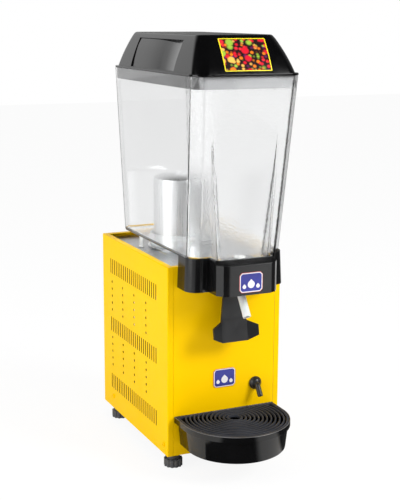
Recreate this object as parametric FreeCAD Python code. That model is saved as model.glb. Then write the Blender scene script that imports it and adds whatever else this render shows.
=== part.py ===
import FreeCAD, Part
import math
import os
from FreeCAD import Vector

# Counter-top cold drink dispenser, one clear bowl over a refrigerated cabinet.
# Millimetres, +Z up, the drip tray faces -Y, X runs to the right seen from the front.
# Everything is modelled about the middle of the cabinet and moved at export, so that
# the origin lies on the table under the middle of the whole machine's outline.

# Cabinet of folded sheet steel
cabinet_width = 198.0
cabinet_depth = 296.0
cabinet_height = 310.0
foot_clearance = 22.0
sheet = 1.2
shell_flange = 9.5
panel_return = 12.0
panel_gap = 0.4
fold_radius = 2.0
pan_sheet = 1.5
pan_lip = 32.0
fit_gap = 0.2
touch_gap = 0.3
running_gap = 0.05
past = 1.0
near = 0.01
corner_steps = 6
deck_drop = 7.0
deck_sheet = 1.0
deck_lip = 12.0
half_width = cabinet_width / 2
front_y = -cabinet_depth / 2
rear_y = cabinet_depth / 2
pan_z = foot_clearance
top_z = pan_z + cabinet_height
deck_z = top_z - deck_drop

# Punched vents, their bands at shares of the cabinet's height
slot_count = 24
slot_pitch = (cabinet_depth - 89.0) / (slot_count - 1)
slot_width = 3.2
slot_height = 26.0
slot_row_middle_y = 3.0
slot_band_shares = (0.161, 0.5, 0.839)
rear_slot_count = 10
rear_slot_pitch = 9.0
rear_slot_height = 60.0
rear_band_share = 0.5
deck_slot_width = 3.0
deck_slot_length = 36.0
deck_slot_x = half_width - 50.0
deck_slot_y = rear_y - 160.0

# Screws that hold the side shells to the base pan, by their distance from an end
screw_front_inset = 16.0
screw_front_rise = 16.0
screw_rear_inset = 48.0
screw_rear_rise = 22.0
screw_head_radius = 4.2
screw_crown_radius = 2.5
screw_head_height = 2.0
screw_radius = 2.0
screw_length = 7.0
screw_sides = 10

# Levelling feet
foot_inset = 17.0
foot_rear_inset = 37.0
foot_x = half_width - foot_inset
foot_front_y = front_y + foot_inset
foot_rear_y = rear_y - foot_rear_inset
foot_radius = 15.0
foot_knob_height = 15.0
foot_flutes = 12
flute_depth = 1.6
neck_radius = 6.0
stud_radius = 4.0
stud_length = 18.0
thread_gap = 0.3
nut_radius = 8.0
nut_height = 7.5
nut_sides = 6

# Clear bowl: its floor and rim stand back from the cabinet's sides and out from its front
bowl_wall = 3.0
bowl_height = 278.0
bowl_seat_height = 15.0
bowl_floor_half = half_width - 20.1
bowl_floor_front = front_y - 42.6
bowl_floor_rear = rear_y - 45.1
bowl_rim_half = half_width - 10.2
bowl_rim_front = front_y - 76.8
bowl_rim_rear = rear_y - 30.2
bowl_corner = 22.0
bowl_bottom_edge = 4.0
chute_floor_half = bowl_floor_half - 34.4
chute_top_half = bowl_floor_half - 21.4
chute_front = front_y - 66.5
chute_corner = 4.0
outlet_y = front_y - 48.0
spigot_radius = 4.0
spigot_bore = 2.8
spigot_length = 16.0
spigot_flange_radius = 9.0
spigot_flange = 2.0
floor_z = top_z + bowl_seat_height
rim_z = floor_z + bowl_height

# Cooling cup, its seal and the bowl's rear posts
cup_y = rear_y - 119.0
cup_radius = 44.0
cup_above_floor = 99.0
crown_rise = 6.0
crown_radius = 30.0
cup_flange_radius = 56.0
cup_flange = 3.0
cup_below_deck = 26.0
seal_gap = 0.4
seal_radius = 52.0
cup_sides = 32
bowl_hole_gap = 2.0
post_x = cup_flange_radius + 10.0
post_y = cup_y + 15.0
post_radius = 3.2
post_sides = 12

# Magnetic stirrer
stirrer_y = cup_y - 95.0
stirrer_pin_radius = 3.0
stirrer_pin_height = 13.0
impeller_radius = 27.0
impeller_hub_radius = 12.0
impeller_hub_height = 15.0
impeller_cap = 1.5
impeller_vane_height = 6.0
impeller_vane_thickness = 2.4
vane_count = 6
magnet_radius = 22.0
magnet_height = 8.0
magnet_cap = 2.0
magnet_air_gap = 5.0
stirrer_can_radius = 30.0
stirrer_can_height = 34.0
shaft_radius = 3.0
shaft_hole_gap = 2.0

# Lid
lid_overhang = 0.4
lid_flange = 3.5
lid_base_half = bowl_rim_half - 4.3
lid_base_front = bowl_rim_front + 3.3
lid_base_rear = bowl_rim_rear - 3.8
lid_top_half = lid_base_half - 21.5
lid_top_front = lid_base_front + 33.5
lid_top_rear = lid_base_rear - 22.0
lid_height = 59.0
lid_corner = 21.0
lid_inner_corner = 10.5
lid_top_edge = 3.0
lid_wall = 2.5
lid_skirt_depth = 18.0
lid_skirt_gap = 0.6
grip_depth = 4.0
grip_reach = 20.0
grip_front = lid_base_front + 77.5
grip_rear = lid_base_rear - 66.0
grip_low = 8.5
grip_high = 48.0
label_width = 2 * lid_top_half - 49.0
label_low = 10.5
label_high = 52.0
label_thickness = 0.6
lid_z = rim_z + lid_flange
lid_top_z = rim_z + lid_height

# Tap housing round the foot of the bowl
housing_bottom_z = top_z - 32.5
housing_lip = 5.0
housing_gap = 0.5
housing_wall = 2.5
housing_rim_wall = 1.3
housing_draft = 2.0
housing_corner = 20.0
nose_half = chute_floor_half + 6.5
nose_front = front_y - 88.0
nose_cheek_half = nose_half - 6.0
nose_cheek_y = front_y - 74.0
nose_cheek_front = front_y - 84.0
nose_face_half = nose_half - 15.0
nose_root_y = front_y - 30.0
nose_bevel_drop = 12.0
nose_crest_chamfer = 2.0
mouth_depth = 20.0
rib_x = nose_half + 7.0
rib_width = 2.4
rib_height = 1.0
badge_width = 39.0
badge_height = 31.0
badge_thickness = 1.0
badge_corner = 4.0
housing_badge_z = housing_bottom_z + 20.0

# Push lever, its pin, its spring and the anvil that it squeezes the tube against
lever_pivot_y = front_y - 31.0
lever_pivot_z = top_z + 5.0
lever_hub_radius = 6.5
lever_hub_half = 20.5
lever_pin_radius = 2.5
lever_thickness = 4.0
lever_neck_half = 17.0
lever_neck_z = lever_pivot_z - 37.0
lever_waist_half = 20.5
lever_waist_z = lever_pivot_z - 85.0
paddle_fold_half = 22.0
paddle_fold_y = lever_pivot_y - 2.0
paddle_fold_z = lever_pivot_z - 93.0
paddle_toe_y = lever_pivot_y - 8.0
paddle_toe_z = lever_pivot_z - 124.4
wing_half = 39.0
wing_y = lever_pivot_y - 11.5
wing_high_z = lever_pivot_z - 100.0
wing_low_z = lever_pivot_z - 116.0
lug_gap = 0.5
lug_thickness = 3.0
lug_margin = 2.0
nose_pad_half_height = 2.0
nose_root_half_height = 8.0
nose_pad_half = 16.0
pinch_z = top_z - 13.0
pinch_height = 14.0
pinch_half_thickness = 2.6
pinch_half_width = 8.4
anvil_height = 8.0
anvil_depth = 7.0
anvil_bevel = 2.0
spring_width = 16.0
spring_thickness = 0.8
spring_foot_height = 27.0
spring_foot_z = lever_pivot_z - 2.0
spring_tip_z = lever_neck_z - 4.0

# Soft outlet tube, many-sided because it is drawn in straight runs
tube_radius = 6.2
tube_bore = 4.4
tube_slant = 34.6
tube_sides = 16
tube_bend_z = top_z - 24.0
tube_end_z = top_z - 70.0
tube_top_gap = 2.0
tube_lap = 2.0

# Drip tray, its grille and its hooks
tray_radius = half_width - 11.2
tray_centre_y = front_y - 40.0
tray_top_z = pan_z + 66.5
tray_rim_height = 10.0
tray_step = 3.4
tray_draft = 4.0
tray_height = 46.5
tray_floor = 3.0
tray_back_wall = 2.6
tray_panel_gap = 0.3
tray_back_gap = 8.0
tray_sides = 28
grille_height = 4.0
grille_seat_wall = 1.6
grille_gap = 0.6
grille_ledge = 3.6
grille_frame = 3.6
ring_width = 2.2
ring_first = 11.4
ring_margin = 15.75
ring_count = 8
ring_least_sides = 8
ring_side_step = 12.0
spoke_width = 3.0
spoke_height = 1.4
spoke_angles = (45, 135, 225, 315)
hook_x = tray_radius - 28.0
hook_width = 24.0
hook_sheet = 2.0
hook_back_sheet = 1.0
hook_channel = 3.4
hook_lip_height = 6.0
hanger_depth = 8.0
hanger_overlap = 2.0

# Drain spout and badge on the front panel
drain_x = half_width - 43.5
drain_z = tray_top_z + 37.5
drain_flange_radius = 10.8
drain_flange = 3.0
drain_dome = 5.0
drain_cap_radius = 5.4
drain_radius = 4.4
drain_bore = 2.8
drain_reach = 12.0
drain_drop = 17.0
drain_sag = 1.0
drain_bore_start = 0.3
drain_shank = 10.0
drain_sides = 20
panel_badge_z = tray_top_z + 53.5

# Rear fittings
rear_projection = 12.0
fitting_z = top_z - 62.0
knob_x = half_width - 54.0
knob_radius = 13.0
knob_disc = 4.0
knob_grip_half = 4.5
knob_grip_inset = 1.0
knob_sides = 24
thermostat_half_width = 17.0
thermostat_half_height = 14.0
thermostat_depth = 22.0
thermostat_shaft = 8.0
switch_x = 54.0 - half_width
switch_width = 15.0
switch_height = 21.0
switch_depth = 24.0
switch_wall = 1.5
switch_well = 8.0
bezel = 2.0
rocker_side_gap = 2.0
rocker_end_gap = 2.5
rocker_pivot_depth = 1.0
rocker_root = 3.0
rocker_crown = 3.0
rocker_waist = 1.6
rocker_tilt = 10.0
rocker_pin_radius = 1.0
rocker_pin_reach = 0.9
gland_x = half_width - 39.0
gland_z = pan_z + 38.0
gland_radius = 9.0
gland_nut_radius = 12.0
gland_bore = 4.0
gland_sides = 16
gland_inside = 12.0
gland_outside = 10.0
gland_room = 11.0

# Refrigeration set, its round pieces many-sided because nothing shows them closely
hidden_sides = 24
compressor_y = rear_y - 76.0
compressor_radius = 58.0
compressor_can = 104.0
compressor_shoulder = 22.0
compressor_crown_radius = 34.0
grommet_radius = 9.0
grommet_height = 14.0
grommet_sides = 10
grommet_margin = 2.0
foot_plate = 3.0
foot_plate_half = half_width - 29.0
foot_plate_depth = 44.0
terminal_half = 12.0
terminal_depth = 3.0
terminal_low = 8.0
terminal_high = 34.0
relay_width = 44.0
relay_depth = 14.0
relay_height = 42.0
condenser_half = half_width - 21.0
condenser_depth = 34.0
condenser_front_y = front_y + 30.0
condenser_height = cabinet_height - 124.0
condenser_lift = 12.0
fin_count = 12
fin_thickness = 2.0
fin_root = 8.0
shroud_sheet = 1.5
shroud_half = half_width - 15.0
shroud_foot = 12.0
fan_radius = shroud_half - 18.0
fan_tip_gap = 5.0
fan_hub_radius = 16.0
fan_hub_depth = 18.0
fan_hub_gap = 1.0
fan_hub_cap = 2.0
fan_blades = 5
fan_root_depth = 3.0
fan_root_chord = 18.0
fan_tip_chord = 40.0
fan_root_pitch = 38.0
fan_tip_pitch = 18.0
fan_blade_thickness = 1.6
fan_motor_radius = 26.0
fan_motor_depth = 26.0
fan_motor_gap = 4.0
fan_bar = 3.0
fan_bar_height = 16.0
pipe_radius = 3.0
pipe_sides = 6
pipe_x = 20.0
pipe_rise = 14.0
drier_radius = 9.0
drier_x = 45.0
drier_length = 70.0
foam_half = cup_flange_radius + 14.0
foam_front = 58.0
foam_gap = 1.0

origin_y = (tray_centre_y - tray_radius + rear_y + rear_projection) / 2


def slab(x0, x1, y0, y1, z0, z1):
    """Box between two corners."""
    size = (abs(x1 - x0), abs(y1 - y0), abs(z1 - z0))
    return Part.makeBox(*size, Vector(min(x0, x1), min(y0, y1), min(z0, z1)))


def post(x, y, z0, z1, radius):
    """Upright cylinder from z0 to z1."""
    return Part.makeCylinder(radius, z1 - z0, Vector(x, y, z0))


def bar(x0, x1, y, z, radius):
    """Cylinder along X."""
    return Part.makeCylinder(radius, x1 - x0, Vector(x0, y, z), Vector(1, 0, 0))


def shaft_along_y(x, z, y0, y1, radius):
    """Cylinder along Y."""
    return Part.makeCylinder(radius, y1 - y0, Vector(x, y0, z), Vector(0, 1, 0))


def wire_of(points):
    """Closed outline through the given corners."""
    corners = [Vector(*p) for p in points]
    return Part.makePolygon(corners + [corners[0]])


def face_of(points):
    """Flat face through the given corners."""
    return Part.Face(wire_of(points))


def side_profile(points, half):
    """Prism of a (y, z) outline, half as wide each side of the middle."""
    outline = face_of([(-half, y, z) for y, z in points])
    return outline.extrude(Vector(2 * half, 0, 0))


def plan_prism(points, z0, z1):
    """Prism of an (x, y) outline."""
    return face_of([(x, y, z0) for x, y in points]).extrude(Vector(0, 0, z1 - z0))


def disc_points(radius, sides, turn=0.0):
    """Corners of a regular outline round the middle."""
    angles = [turn + 2 * math.pi * i / sides for i in range(sides)]
    return [(radius * math.cos(a), radius * math.sin(a)) for a in angles]


def sided_post(x, y, z0, z1, radius, sides):
    """Upright prism of many sides, for round pieces that nothing fits closely."""
    return plan_prism([(x + a, y + b) for a, b in disc_points(radius, sides)], z0, z1)


def ring_along_y(x, z, y, radius, sides):
    """Corners of a many-sided disc that faces along Y."""
    return [(x + a, y, z + b) for a, b in disc_points(radius, sides)]


def sided_along_y(x, z, y0, y1, radius, sides):
    """Prism of many sides along Y."""
    return face_of(ring_along_y(x, z, y0, radius, sides)).extrude(Vector(0, y1 - y0, 0))


def sided_run(start, end, radius, sides):
    """Prism of many sides between two places that share one x."""
    run = end - start
    across = Vector(1, 0, 0)
    up = Vector(*run).normalize().cross(across)
    return face_of([start + across * u + up * v for u, v in disc_points(radius, sides)]).extrude(run)


def mirrored(points):
    """An (x, y) outline of the left half, completed with its mirror image."""
    return points + [(-x, y) for x, y in reversed(points)]


def both_sides(shape):
    """The shape and its mirror image in the middle plane."""
    return [shape, shape.mirror(Vector(0, 0, 0), Vector(1, 0, 0))]


def corner_points(x, y, radius, start):
    """Quarter turn round (x, y) in short chords, from an angle given in quarters."""
    angles = [math.pi / 2 * (start + i / corner_steps) for i in range(corner_steps + 1)]
    return [(x + radius * math.cos(a), y + radius * math.sin(a)) for a in angles]


def rounded_outline(half, front, rear, corner):
    """Rectangle in plan with its four corners rounded."""
    x, y0, y1 = half - corner, front + corner, rear - corner
    return (corner_points(-x, y0, corner, 2) + corner_points(x, y0, corner, 3)
            + corner_points(x, y1, corner, 0) + corner_points(-x, y1, corner, 1))


def tongue_outline(half, front, rear, corner):
    """Rectangle in plan with only its two front corners rounded."""
    x, y = half - corner, front + corner
    return [(-half, rear)] + corner_points(-x, y, corner, 2) + corner_points(x, y, corner, 3) + [(half, rear)]


def tray_outline(radius, rear):
    """Half round front with straight sides running back to the cabinet."""
    turns = [math.pi * (1 + i / tray_sides) for i in range(tray_sides + 1)]
    arc = [(radius * math.cos(t), tray_centre_y + radius * math.sin(t)) for t in turns]
    return [(-radius, rear)] + arc + [(radius, rear)]


def ring_at(outline, z):
    """An (x, y) outline set at height z."""
    return [(x, y, z) for x, y in outline]


def closed_solid(faces):
    """Solid inside a closed set of flat faces."""
    solid = Part.Solid(Part.Shell(faces))
    return solid if solid.Volume > 0 else solid.reversed()


def stacked(rings):
    """Solid through rings of as many corners, whose matching edges run parallel."""
    faces = [face_of(rings[0][::-1]), face_of(rings[-1])]
    for low, high in zip(rings, rings[1:]):
        for i in range(len(low)):
            j = (i + 1) % len(low)
            faces.append(face_of([low[i], low[j], high[j], high[i]]))
    return closed_solid(faces)


def faceted(low, high):
    """Solid between two rings of as many corners, its flanks in flat triangles."""
    faces = [face_of(low[::-1]), face_of(high)]
    for i in range(len(low)):
        j = (i + 1) % len(low)
        faces.append(face_of([low[i], low[j], high[j]]))
        faces.append(face_of([low[i], high[j], high[i]]))
    return closed_solid(faces)


def joined(shapes):
    """One solid from touching or overlapping shapes."""
    return shapes[0].fuse(shapes[1:]).removeSplitter()


def between(low, high, z):
    """Value at height z on the straight taper of the bowl from floor to rim."""
    return low + (high - low) * (z - floor_z) / bowl_height


def save(name, shape):
    """Write one node, moved to the machine's origin."""
    moved = shape.copy()
    moved.translate(Vector(0, -origin_y, 0))
    moved.exportStep("parts/" + name + ".step")


# Cabinet

def side_vents(x0, x1):
    """Cutters for the bands of upright slots."""
    cutters = []
    first_y = slot_row_middle_y - slot_pitch * (slot_count - 1) / 2
    for share in slot_band_shares:
        band_z = pan_z + share * cabinet_height
        for i in range(slot_count):
            y = first_y + i * slot_pitch
            cutters.append(slab(x0, x1, y - slot_width / 2, y + slot_width / 2,
                                band_z - slot_height / 2, band_z + slot_height / 2))
    return cutters


def screw_places():
    """Where the shells are screwed to the pan, as (y, z)."""
    return [(front_y + screw_front_inset, pan_z + screw_front_rise),
            (rear_y - screw_rear_inset, pan_z + screw_rear_rise)]


def screw_outline(x, y, z, radius):
    """Corners of a many-sided disc that faces along X."""
    return [(x, y + a, z + b) for a, b in disc_points(radius, screw_sides)]


def side_shell():
    """Left side shell: wall, front, rear and top flanges folded from one sheet."""
    outer = -half_width
    inner = outer + sheet
    lip = outer + shell_flange
    shell = joined([
        slab(outer, inner, front_y, rear_y, pan_z, top_z),
        slab(outer, lip, front_y, front_y + sheet, pan_z, top_z),
        slab(outer, lip, rear_y - sheet, rear_y, pan_z, top_z),
        slab(outer, lip, front_y, rear_y, top_z - sheet, top_z),
    ])
    folds = []
    for edge in shell.Edges:
        box = edge.BoundBox
        on_side = abs(box.XMin - outer) < near and box.XLength < near
        at_end = box.YMin < front_y + near or box.YMax > rear_y - near
        upright = box.ZLength > cabinet_height - near and at_end
        along_top = box.YLength > cabinet_depth - near and box.ZMin > top_z - near
        if on_side and (upright or along_top):
            folds.append(edge)
    shell = shell.makeFillet(fold_radius, folds)
    shell = shell.cut(side_vents(outer - past, inner + past))
    for y, z in screw_places():
        hole = face_of(screw_outline(outer - past, y, z, screw_radius + fit_gap))
        shell = shell.cut(hole.extrude(Vector(sheet + 2 * past, 0, 0)))
    return shell


def end_panel(outside, inward):
    """Front or rear panel between the shells' flanges, with folded returns."""
    half = half_width - shell_flange - panel_gap
    inside = outside + inward * sheet
    deep = outside + inward * panel_return
    low = pan_z + pan_lip + 2 * sheet
    high = deck_z - deck_lip - sheet
    parts = [
        slab(-half, half, outside, inside, pan_z, top_z),
        slab(-half, half, outside, outside + inward * shell_flange, top_z - sheet, top_z),
    ]
    parts += both_sides(slab(-half, -half + sheet, outside, deep, low, high))
    return joined(parts)


def front_panel():
    """Panel that carries the tray's hooks, with a hole for the drain spout."""
    radius = drain_radius + fit_gap
    hole = sided_along_y(drain_x, drain_z, front_y - past, front_y + 2 * sheet, radius, drain_sides)
    return end_panel(front_y, 1).cut(hole)


def rear_panel():
    """Panel with warm air slots and openings for the thermostat, switch and cord gland."""
    y0, y1 = rear_y - 2 * sheet, rear_y + past
    band_z = pan_z + rear_band_share * cabinet_height
    first_x = -rear_slot_pitch * (rear_slot_count - 1) / 2
    cutters = []
    for i in range(rear_slot_count):
        x = first_x + i * rear_slot_pitch
        cutters.append(slab(x - slot_width / 2, x + slot_width / 2, y0, y1,
                            band_z - rear_slot_height / 2, band_z + rear_slot_height / 2))
    cutters.append(sided_along_y(gland_x, gland_z, y0, y1, gland_radius + fit_gap, gland_sides))
    cutters.append(sided_along_y(knob_x, fitting_z, y0, y1, shaft_radius + past, gland_sides))
    half_w = switch_width / 2 + fit_gap
    half_h = switch_height / 2 + fit_gap
    cutters.append(slab(switch_x - half_w, switch_x + half_w, y0, y1, fitting_z - half_h, fitting_z + half_h))
    return end_panel(rear_y, -1).cut(cutters)


def base_pan():
    """Floor tray with upturned lips and a weld nut over each foot."""
    x = half_width - sheet - fit_gap
    y = rear_y - sheet - fit_gap
    pan = slab(-x, x, -y, y, pan_z, pan_z + pan_lip)
    pan = pan.cut(slab(-x + pan_sheet, x - pan_sheet, -y + pan_sheet, y - pan_sheet,
                       pan_z + pan_sheet, pan_z + pan_lip))
    nut_top = pan_z + pan_sheet + nut_height
    nuts = []
    holes = []
    for x_place in (-foot_x, foot_x):
        for y_place in (foot_front_y, foot_rear_y):
            nuts.append(sided_post(x_place, y_place, pan_z, nut_top, nut_radius, nut_sides))
            holes.append(sided_post(x_place, y_place, pan_z - past, nut_top + past,
                                    stud_radius + thread_gap, foot_flutes))
    pan = joined([pan] + nuts).cut(holes)
    for screw_y, screw_z in screw_places():
        hole = face_of(screw_outline(-x - past, screw_y, screw_z, screw_radius + fit_gap))
        pan = pan.cut(hole.extrude(Vector(2 * (x + past), 0, 0)))
    room = slab(gland_x - gland_room, gland_x + gland_room, y - 2 * pan_sheet, y + past,
                gland_z - gland_room, gland_z + gland_room)
    return pan.cut(room)


def top_deck():
    """Recessed stainless deck with a down-turned lip and openings for what passes through."""
    x = half_width - sheet - fit_gap
    y = rear_y - sheet - fit_gap
    inside_x = x - deck_sheet
    inside_y = y - deck_sheet
    deck = slab(-x, x, -y, y, deck_z - deck_lip, deck_z)
    deck = deck.cut(slab(-inside_x, inside_x, -inside_y, inside_y, deck_z - deck_lip, deck_z - deck_sheet))
    low, high = deck_z - 2 * deck_sheet, deck_z + past
    cutters = [sided_post(0, cup_y, low, high, cup_radius + fit_gap, cup_sides)]
    cutters.append(sided_post(0, stirrer_y, low, high, shaft_radius + shaft_hole_gap, gland_sides))
    cutters += both_sides(slab(deck_slot_x, deck_slot_x + deck_slot_width, deck_slot_y - deck_slot_length / 2,
                               deck_slot_y + deck_slot_length / 2, low, high))
    return deck.cut(cutters)


def shell_screws():
    """Domed screws through the side shells into the pan's lips."""
    screws = []
    for y, z in screw_places():
        rim = screw_outline(-half_width, y, z, screw_head_radius)
        crown = screw_outline(-half_width - screw_head_height, y, z, screw_crown_radius)
        shank = face_of(screw_outline(-half_width, y, z, screw_radius)).extrude(Vector(screw_length, 0, 0))
        screws += both_sides(faceted(rim, crown).fuse(shank))
    return Part.makeCompound(screws)


def levelling_foot(x, y):
    """Fluted knob on a neck, with the stud that screws into the pan's nut."""
    outline = []
    for i in range(2 * foot_flutes):
        radius = foot_radius - (i % 2) * flute_depth
        turn = math.pi * i / foot_flutes
        outline.append((x + radius * math.cos(turn), y + radius * math.sin(turn)))
    knob = plan_prism(outline, 0, foot_knob_height)
    neck = sided_post(x, y, foot_knob_height, pan_z, neck_radius, foot_flutes)
    stud = sided_post(x, y, pan_z, pan_z + stud_length, stud_radius, foot_flutes)
    return joined([knob, neck, stud])


# Bowl, cooling cup and stirrer

def bowl_level(inset, z):
    """Half width, front and rear face of the bowl at height z, drawn in by inset."""
    half = between(bowl_floor_half, bowl_rim_half, z) - inset
    front = between(bowl_floor_front, bowl_rim_front, z) + inset
    rear = between(bowl_floor_rear, bowl_rim_rear, z) - inset
    return half, front, rear


def bowl_body(inset, z0, z1):
    """Tapered tub with rounded corners and a broken bottom edge."""
    corner = bowl_corner - inset
    edge = bowl_bottom_edge - inset / 2
    half, front, rear = bowl_level(inset, z0)
    foot = rounded_outline(half - edge, front + edge, rear - edge, corner - edge)
    knee = rounded_outline(*bowl_level(inset, z0 + edge), corner)
    top = rounded_outline(*bowl_level(inset, z1), corner)
    return stacked([ring_at(foot, z0), ring_at(knee, z0 + edge), ring_at(top, z1)])


def chute_body(inset, z0):
    """Upright chute that stands out of the leaning front face down to the outlet."""
    reach = (chute_front - bowl_floor_front) / (bowl_rim_front - bowl_floor_front)
    top = floor_z + bowl_height * reach
    back = bowl_floor_front + 2 * bowl_wall
    front = chute_front + inset
    spread = (chute_top_half - chute_floor_half) / (top - floor_z)
    low_half = chute_floor_half + spread * (z0 - floor_z) - inset
    low = tongue_outline(low_half, front, back, chute_corner - inset)
    high = tongue_outline(chute_top_half - inset, front, back, chute_corner - inset)
    return stacked([ring_at(low, z0), ring_at(high, top)])


def bowl():
    """Clear moulded bowl with its chute, cup hole, stirrer pin and outlet hole."""
    inside_z = floor_z + bowl_wall
    outer = bowl_body(0, floor_z, rim_z).fuse(chute_body(0, floor_z))
    inner = bowl_body(bowl_wall, inside_z, rim_z + past).fuse(chute_body(bowl_wall, inside_z))
    low, high = floor_z - past, inside_z + past
    cup_hole = sided_post(0, cup_y, low, high, cup_radius + bowl_hole_gap, cup_sides)
    outlet = sided_post(0, outlet_y, low, high, spigot_radius + running_gap, tube_sides)
    pin = post(0, stirrer_y, floor_z + bowl_wall / 2, inside_z + stirrer_pin_height, stirrer_pin_radius)
    return outer.cut(inner).cut([cup_hole, outlet]).fuse(pin).removeSplitter()


def bowl_spigot():
    """Flanged outlet pressed through the chute's floor; the soft tube slips over it."""
    inside_z = floor_z + bowl_wall
    low, high = floor_z - spigot_length, inside_z + spigot_flange
    flange = sided_post(0, outlet_y, inside_z, high, spigot_flange_radius, tube_sides)
    stem = sided_post(0, outlet_y, low, inside_z, spigot_radius, tube_sides)
    bore = sided_post(0, outlet_y, low - past, high + past, spigot_bore, tube_sides)
    return joined([flange, stem]).cut(bore)


def evaporator():
    """Stainless cooling cup with a crowned top; its coil is foamed in and nothing opens it."""
    top = floor_z + cup_above_floor
    low = deck_z - cup_below_deck
    wall = [ring_at([(a, cup_y + b) for a, b in disc_points(cup_radius, cup_sides)], z) for z in (low, top)]
    crown = ring_at([(a, cup_y + b) for a, b in disc_points(crown_radius, cup_sides)], top + crown_rise)
    flange = sided_post(0, cup_y, deck_z, deck_z + cup_flange, cup_flange_radius, cup_sides)
    return joined([stacked(wall + [crown]), flange])


def bowl_gasket():
    """Soft ring between the cup's flange and the bowl's floor."""
    low = deck_z + cup_flange
    ring = sided_post(0, cup_y, low, floor_z, seal_radius, cup_sides)
    return ring.cut(sided_post(0, cup_y, low - past, floor_z + past, cup_radius + seal_gap, cup_sides))


def bowl_posts():
    """Two plastic posts that carry the rear of the bowl."""
    left = sided_post(-post_x, post_y, deck_z, floor_z, post_radius, post_sides)
    return Part.makeCompound(both_sides(left))


def impeller():
    """Magnetic stirring rotor that spins on the bowl's pin."""
    low = floor_z + bowl_wall + touch_gap
    hub = sided_post(0, stirrer_y, low, low + impeller_hub_height, impeller_hub_radius, 4 * vane_count)
    half = impeller_vane_thickness / 2
    vanes = []
    for i in range(vane_count):
        vane = slab(0, impeller_radius, -half, half, low, low + impeller_vane_height)
        vane.rotate(Vector(0, 0, 0), Vector(0, 0, 1), 360 * i / vane_count)
        vane.translate(Vector(0, stirrer_y, 0))
        vanes.append(vane)
    bore_top = low + impeller_hub_height - impeller_cap
    bore = post(0, stirrer_y, low - past, bore_top, stirrer_pin_radius + running_gap)
    return joined([hub] + vanes).cut(bore)


def drive_magnet():
    """Magnet disc on the stirrer motor's shaft, under the bowl's floor."""
    top = floor_z - magnet_air_gap
    low = top - magnet_height
    disc = sided_post(0, stirrer_y, low, top, magnet_radius, hidden_sides)
    return disc.cut(post(0, stirrer_y, low - past, top - magnet_cap, shaft_radius + running_gap))


def stirrer_motor():
    """Motor can hung under the deck, its shaft passing through."""
    low = deck_z - deck_sheet
    can = sided_post(0, stirrer_y, low - stirrer_can_height, low, stirrer_can_radius, hidden_sides)
    shaft_top = floor_z - magnet_air_gap - magnet_cap - touch_gap
    return joined([can, post(0, stirrer_y, low, shaft_top, shaft_radius)])


# Lid

def lid_half_at(height):
    """Half width of the lid's outer face at a height above the rim."""
    share = (height - lid_flange) / (lid_height - lid_flange)
    return lid_base_half + (lid_top_half - lid_base_half) * share


def lid_front_at(height):
    """Front face of the lid at a height above the rim."""
    share = (height - lid_flange) / (lid_height - lid_flange)
    return lid_base_front + (lid_top_front - lid_base_front) * share


def grip_cutter(depth, margin):
    """Block that hollows the finger grip out of the left flank, following its slope."""
    points = []
    for height, out in ((grip_low - margin, -grip_reach), (grip_high + margin, -grip_reach),
                        (grip_high + margin, depth), (grip_low - margin, depth)):
        points.append((-lid_half_at(height) + out, grip_front - margin, rim_z + height))
    return face_of(points).extrude(Vector(0, grip_rear - grip_front + 2 * margin, 0))


def lid_crown():
    """Outside of the domed top, leaning in on all sides to a flat with a broken edge."""
    edge = lid_top_edge
    knee = lid_top_z - edge
    lean = edge / (lid_height - lid_flange)
    half = lid_top_half + (lid_base_half - lid_top_half) * lean
    front = lid_top_front + (lid_base_front - lid_top_front) * lean
    rear = lid_top_rear + (lid_base_rear - lid_top_rear) * lean
    base = rounded_outline(lid_base_half, lid_base_front, lid_base_rear, lid_corner)
    shoulder = rounded_outline(half, front, rear, lid_corner)
    top = rounded_outline(lid_top_half - edge, lid_top_front + edge, lid_top_rear - edge, lid_corner - edge)
    return stacked([ring_at(base, lid_z), ring_at(shoulder, knee), ring_at(top, lid_top_z)])


def lid():
    """Domed lid with a plug skirt, a flange on the rim and a finger grip on each flank."""
    crown = lid_crown().cut(both_sides(grip_cutter(grip_depth, 0)))
    out = lid_overhang
    rim = rounded_outline(bowl_rim_half + out, bowl_rim_front - out, bowl_rim_rear + out, bowl_corner + out)
    flange = plan_prism(rim, rim_z, lid_z)
    skirt_in = bowl_wall + lid_skirt_gap
    skirt_low = rim_z - lid_skirt_depth
    skirt_corner = bowl_corner - skirt_in
    half, front, rear = bowl_level(skirt_in, skirt_low)
    skirt = plan_prism(rounded_outline(half, front, rear, skirt_corner), skirt_low, rim_z)
    wall = lid_wall
    well = plan_prism(rounded_outline(half - wall, front + wall, rear - wall, skirt_corner - wall),
                      skirt_low - past, rim_z)
    inset = 3 * wall
    corner = lid_inner_corner
    low = rounded_outline(lid_base_half - inset, lid_base_front + inset, lid_base_rear - inset, corner)
    high = rounded_outline(lid_top_half - wall, lid_top_front + wall, lid_top_rear - wall, corner)
    dome = stacked([ring_at(low, rim_z - past), ring_at(high, lid_top_z - wall)])
    dome = dome.cut(both_sides(grip_cutter(grip_depth + wall, wall)))
    return joined([crown, flange, skirt]).cut([well, dome])


def lid_label():
    """Thin printed panel on the lid's sloping front."""
    back = [(lid_front_at(height), rim_z + height) for height in (label_low, label_high)]
    face = [(y - label_thickness, z) for y, z in back[::-1]]
    return side_profile(back + face, label_width / 2)


# Tap housing, lever and tube

def nose_outline():
    """Left half of the housing's projecting nose, seen from above."""
    return [(-nose_half, nose_root_y), (-nose_half, nose_cheek_y),
            (-nose_cheek_half, nose_cheek_front), (-nose_face_half, nose_front)]


def lug_faces():
    """Inner and outer x of the lever's pivot lugs."""
    inner = lever_hub_half + lug_gap
    return inner, inner + lug_thickness


def housing_mouth():
    """Half width and front of the opening that takes the bowl's chute."""
    return chute_floor_half + housing_gap, chute_front - housing_gap


def housing_top():
    """Half width and front face of the housing at its top edge."""
    top = floor_z + housing_lip
    room = housing_gap + housing_rim_wall
    half, front, _ = bowl_level(-room, top)
    return half, front, top


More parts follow.
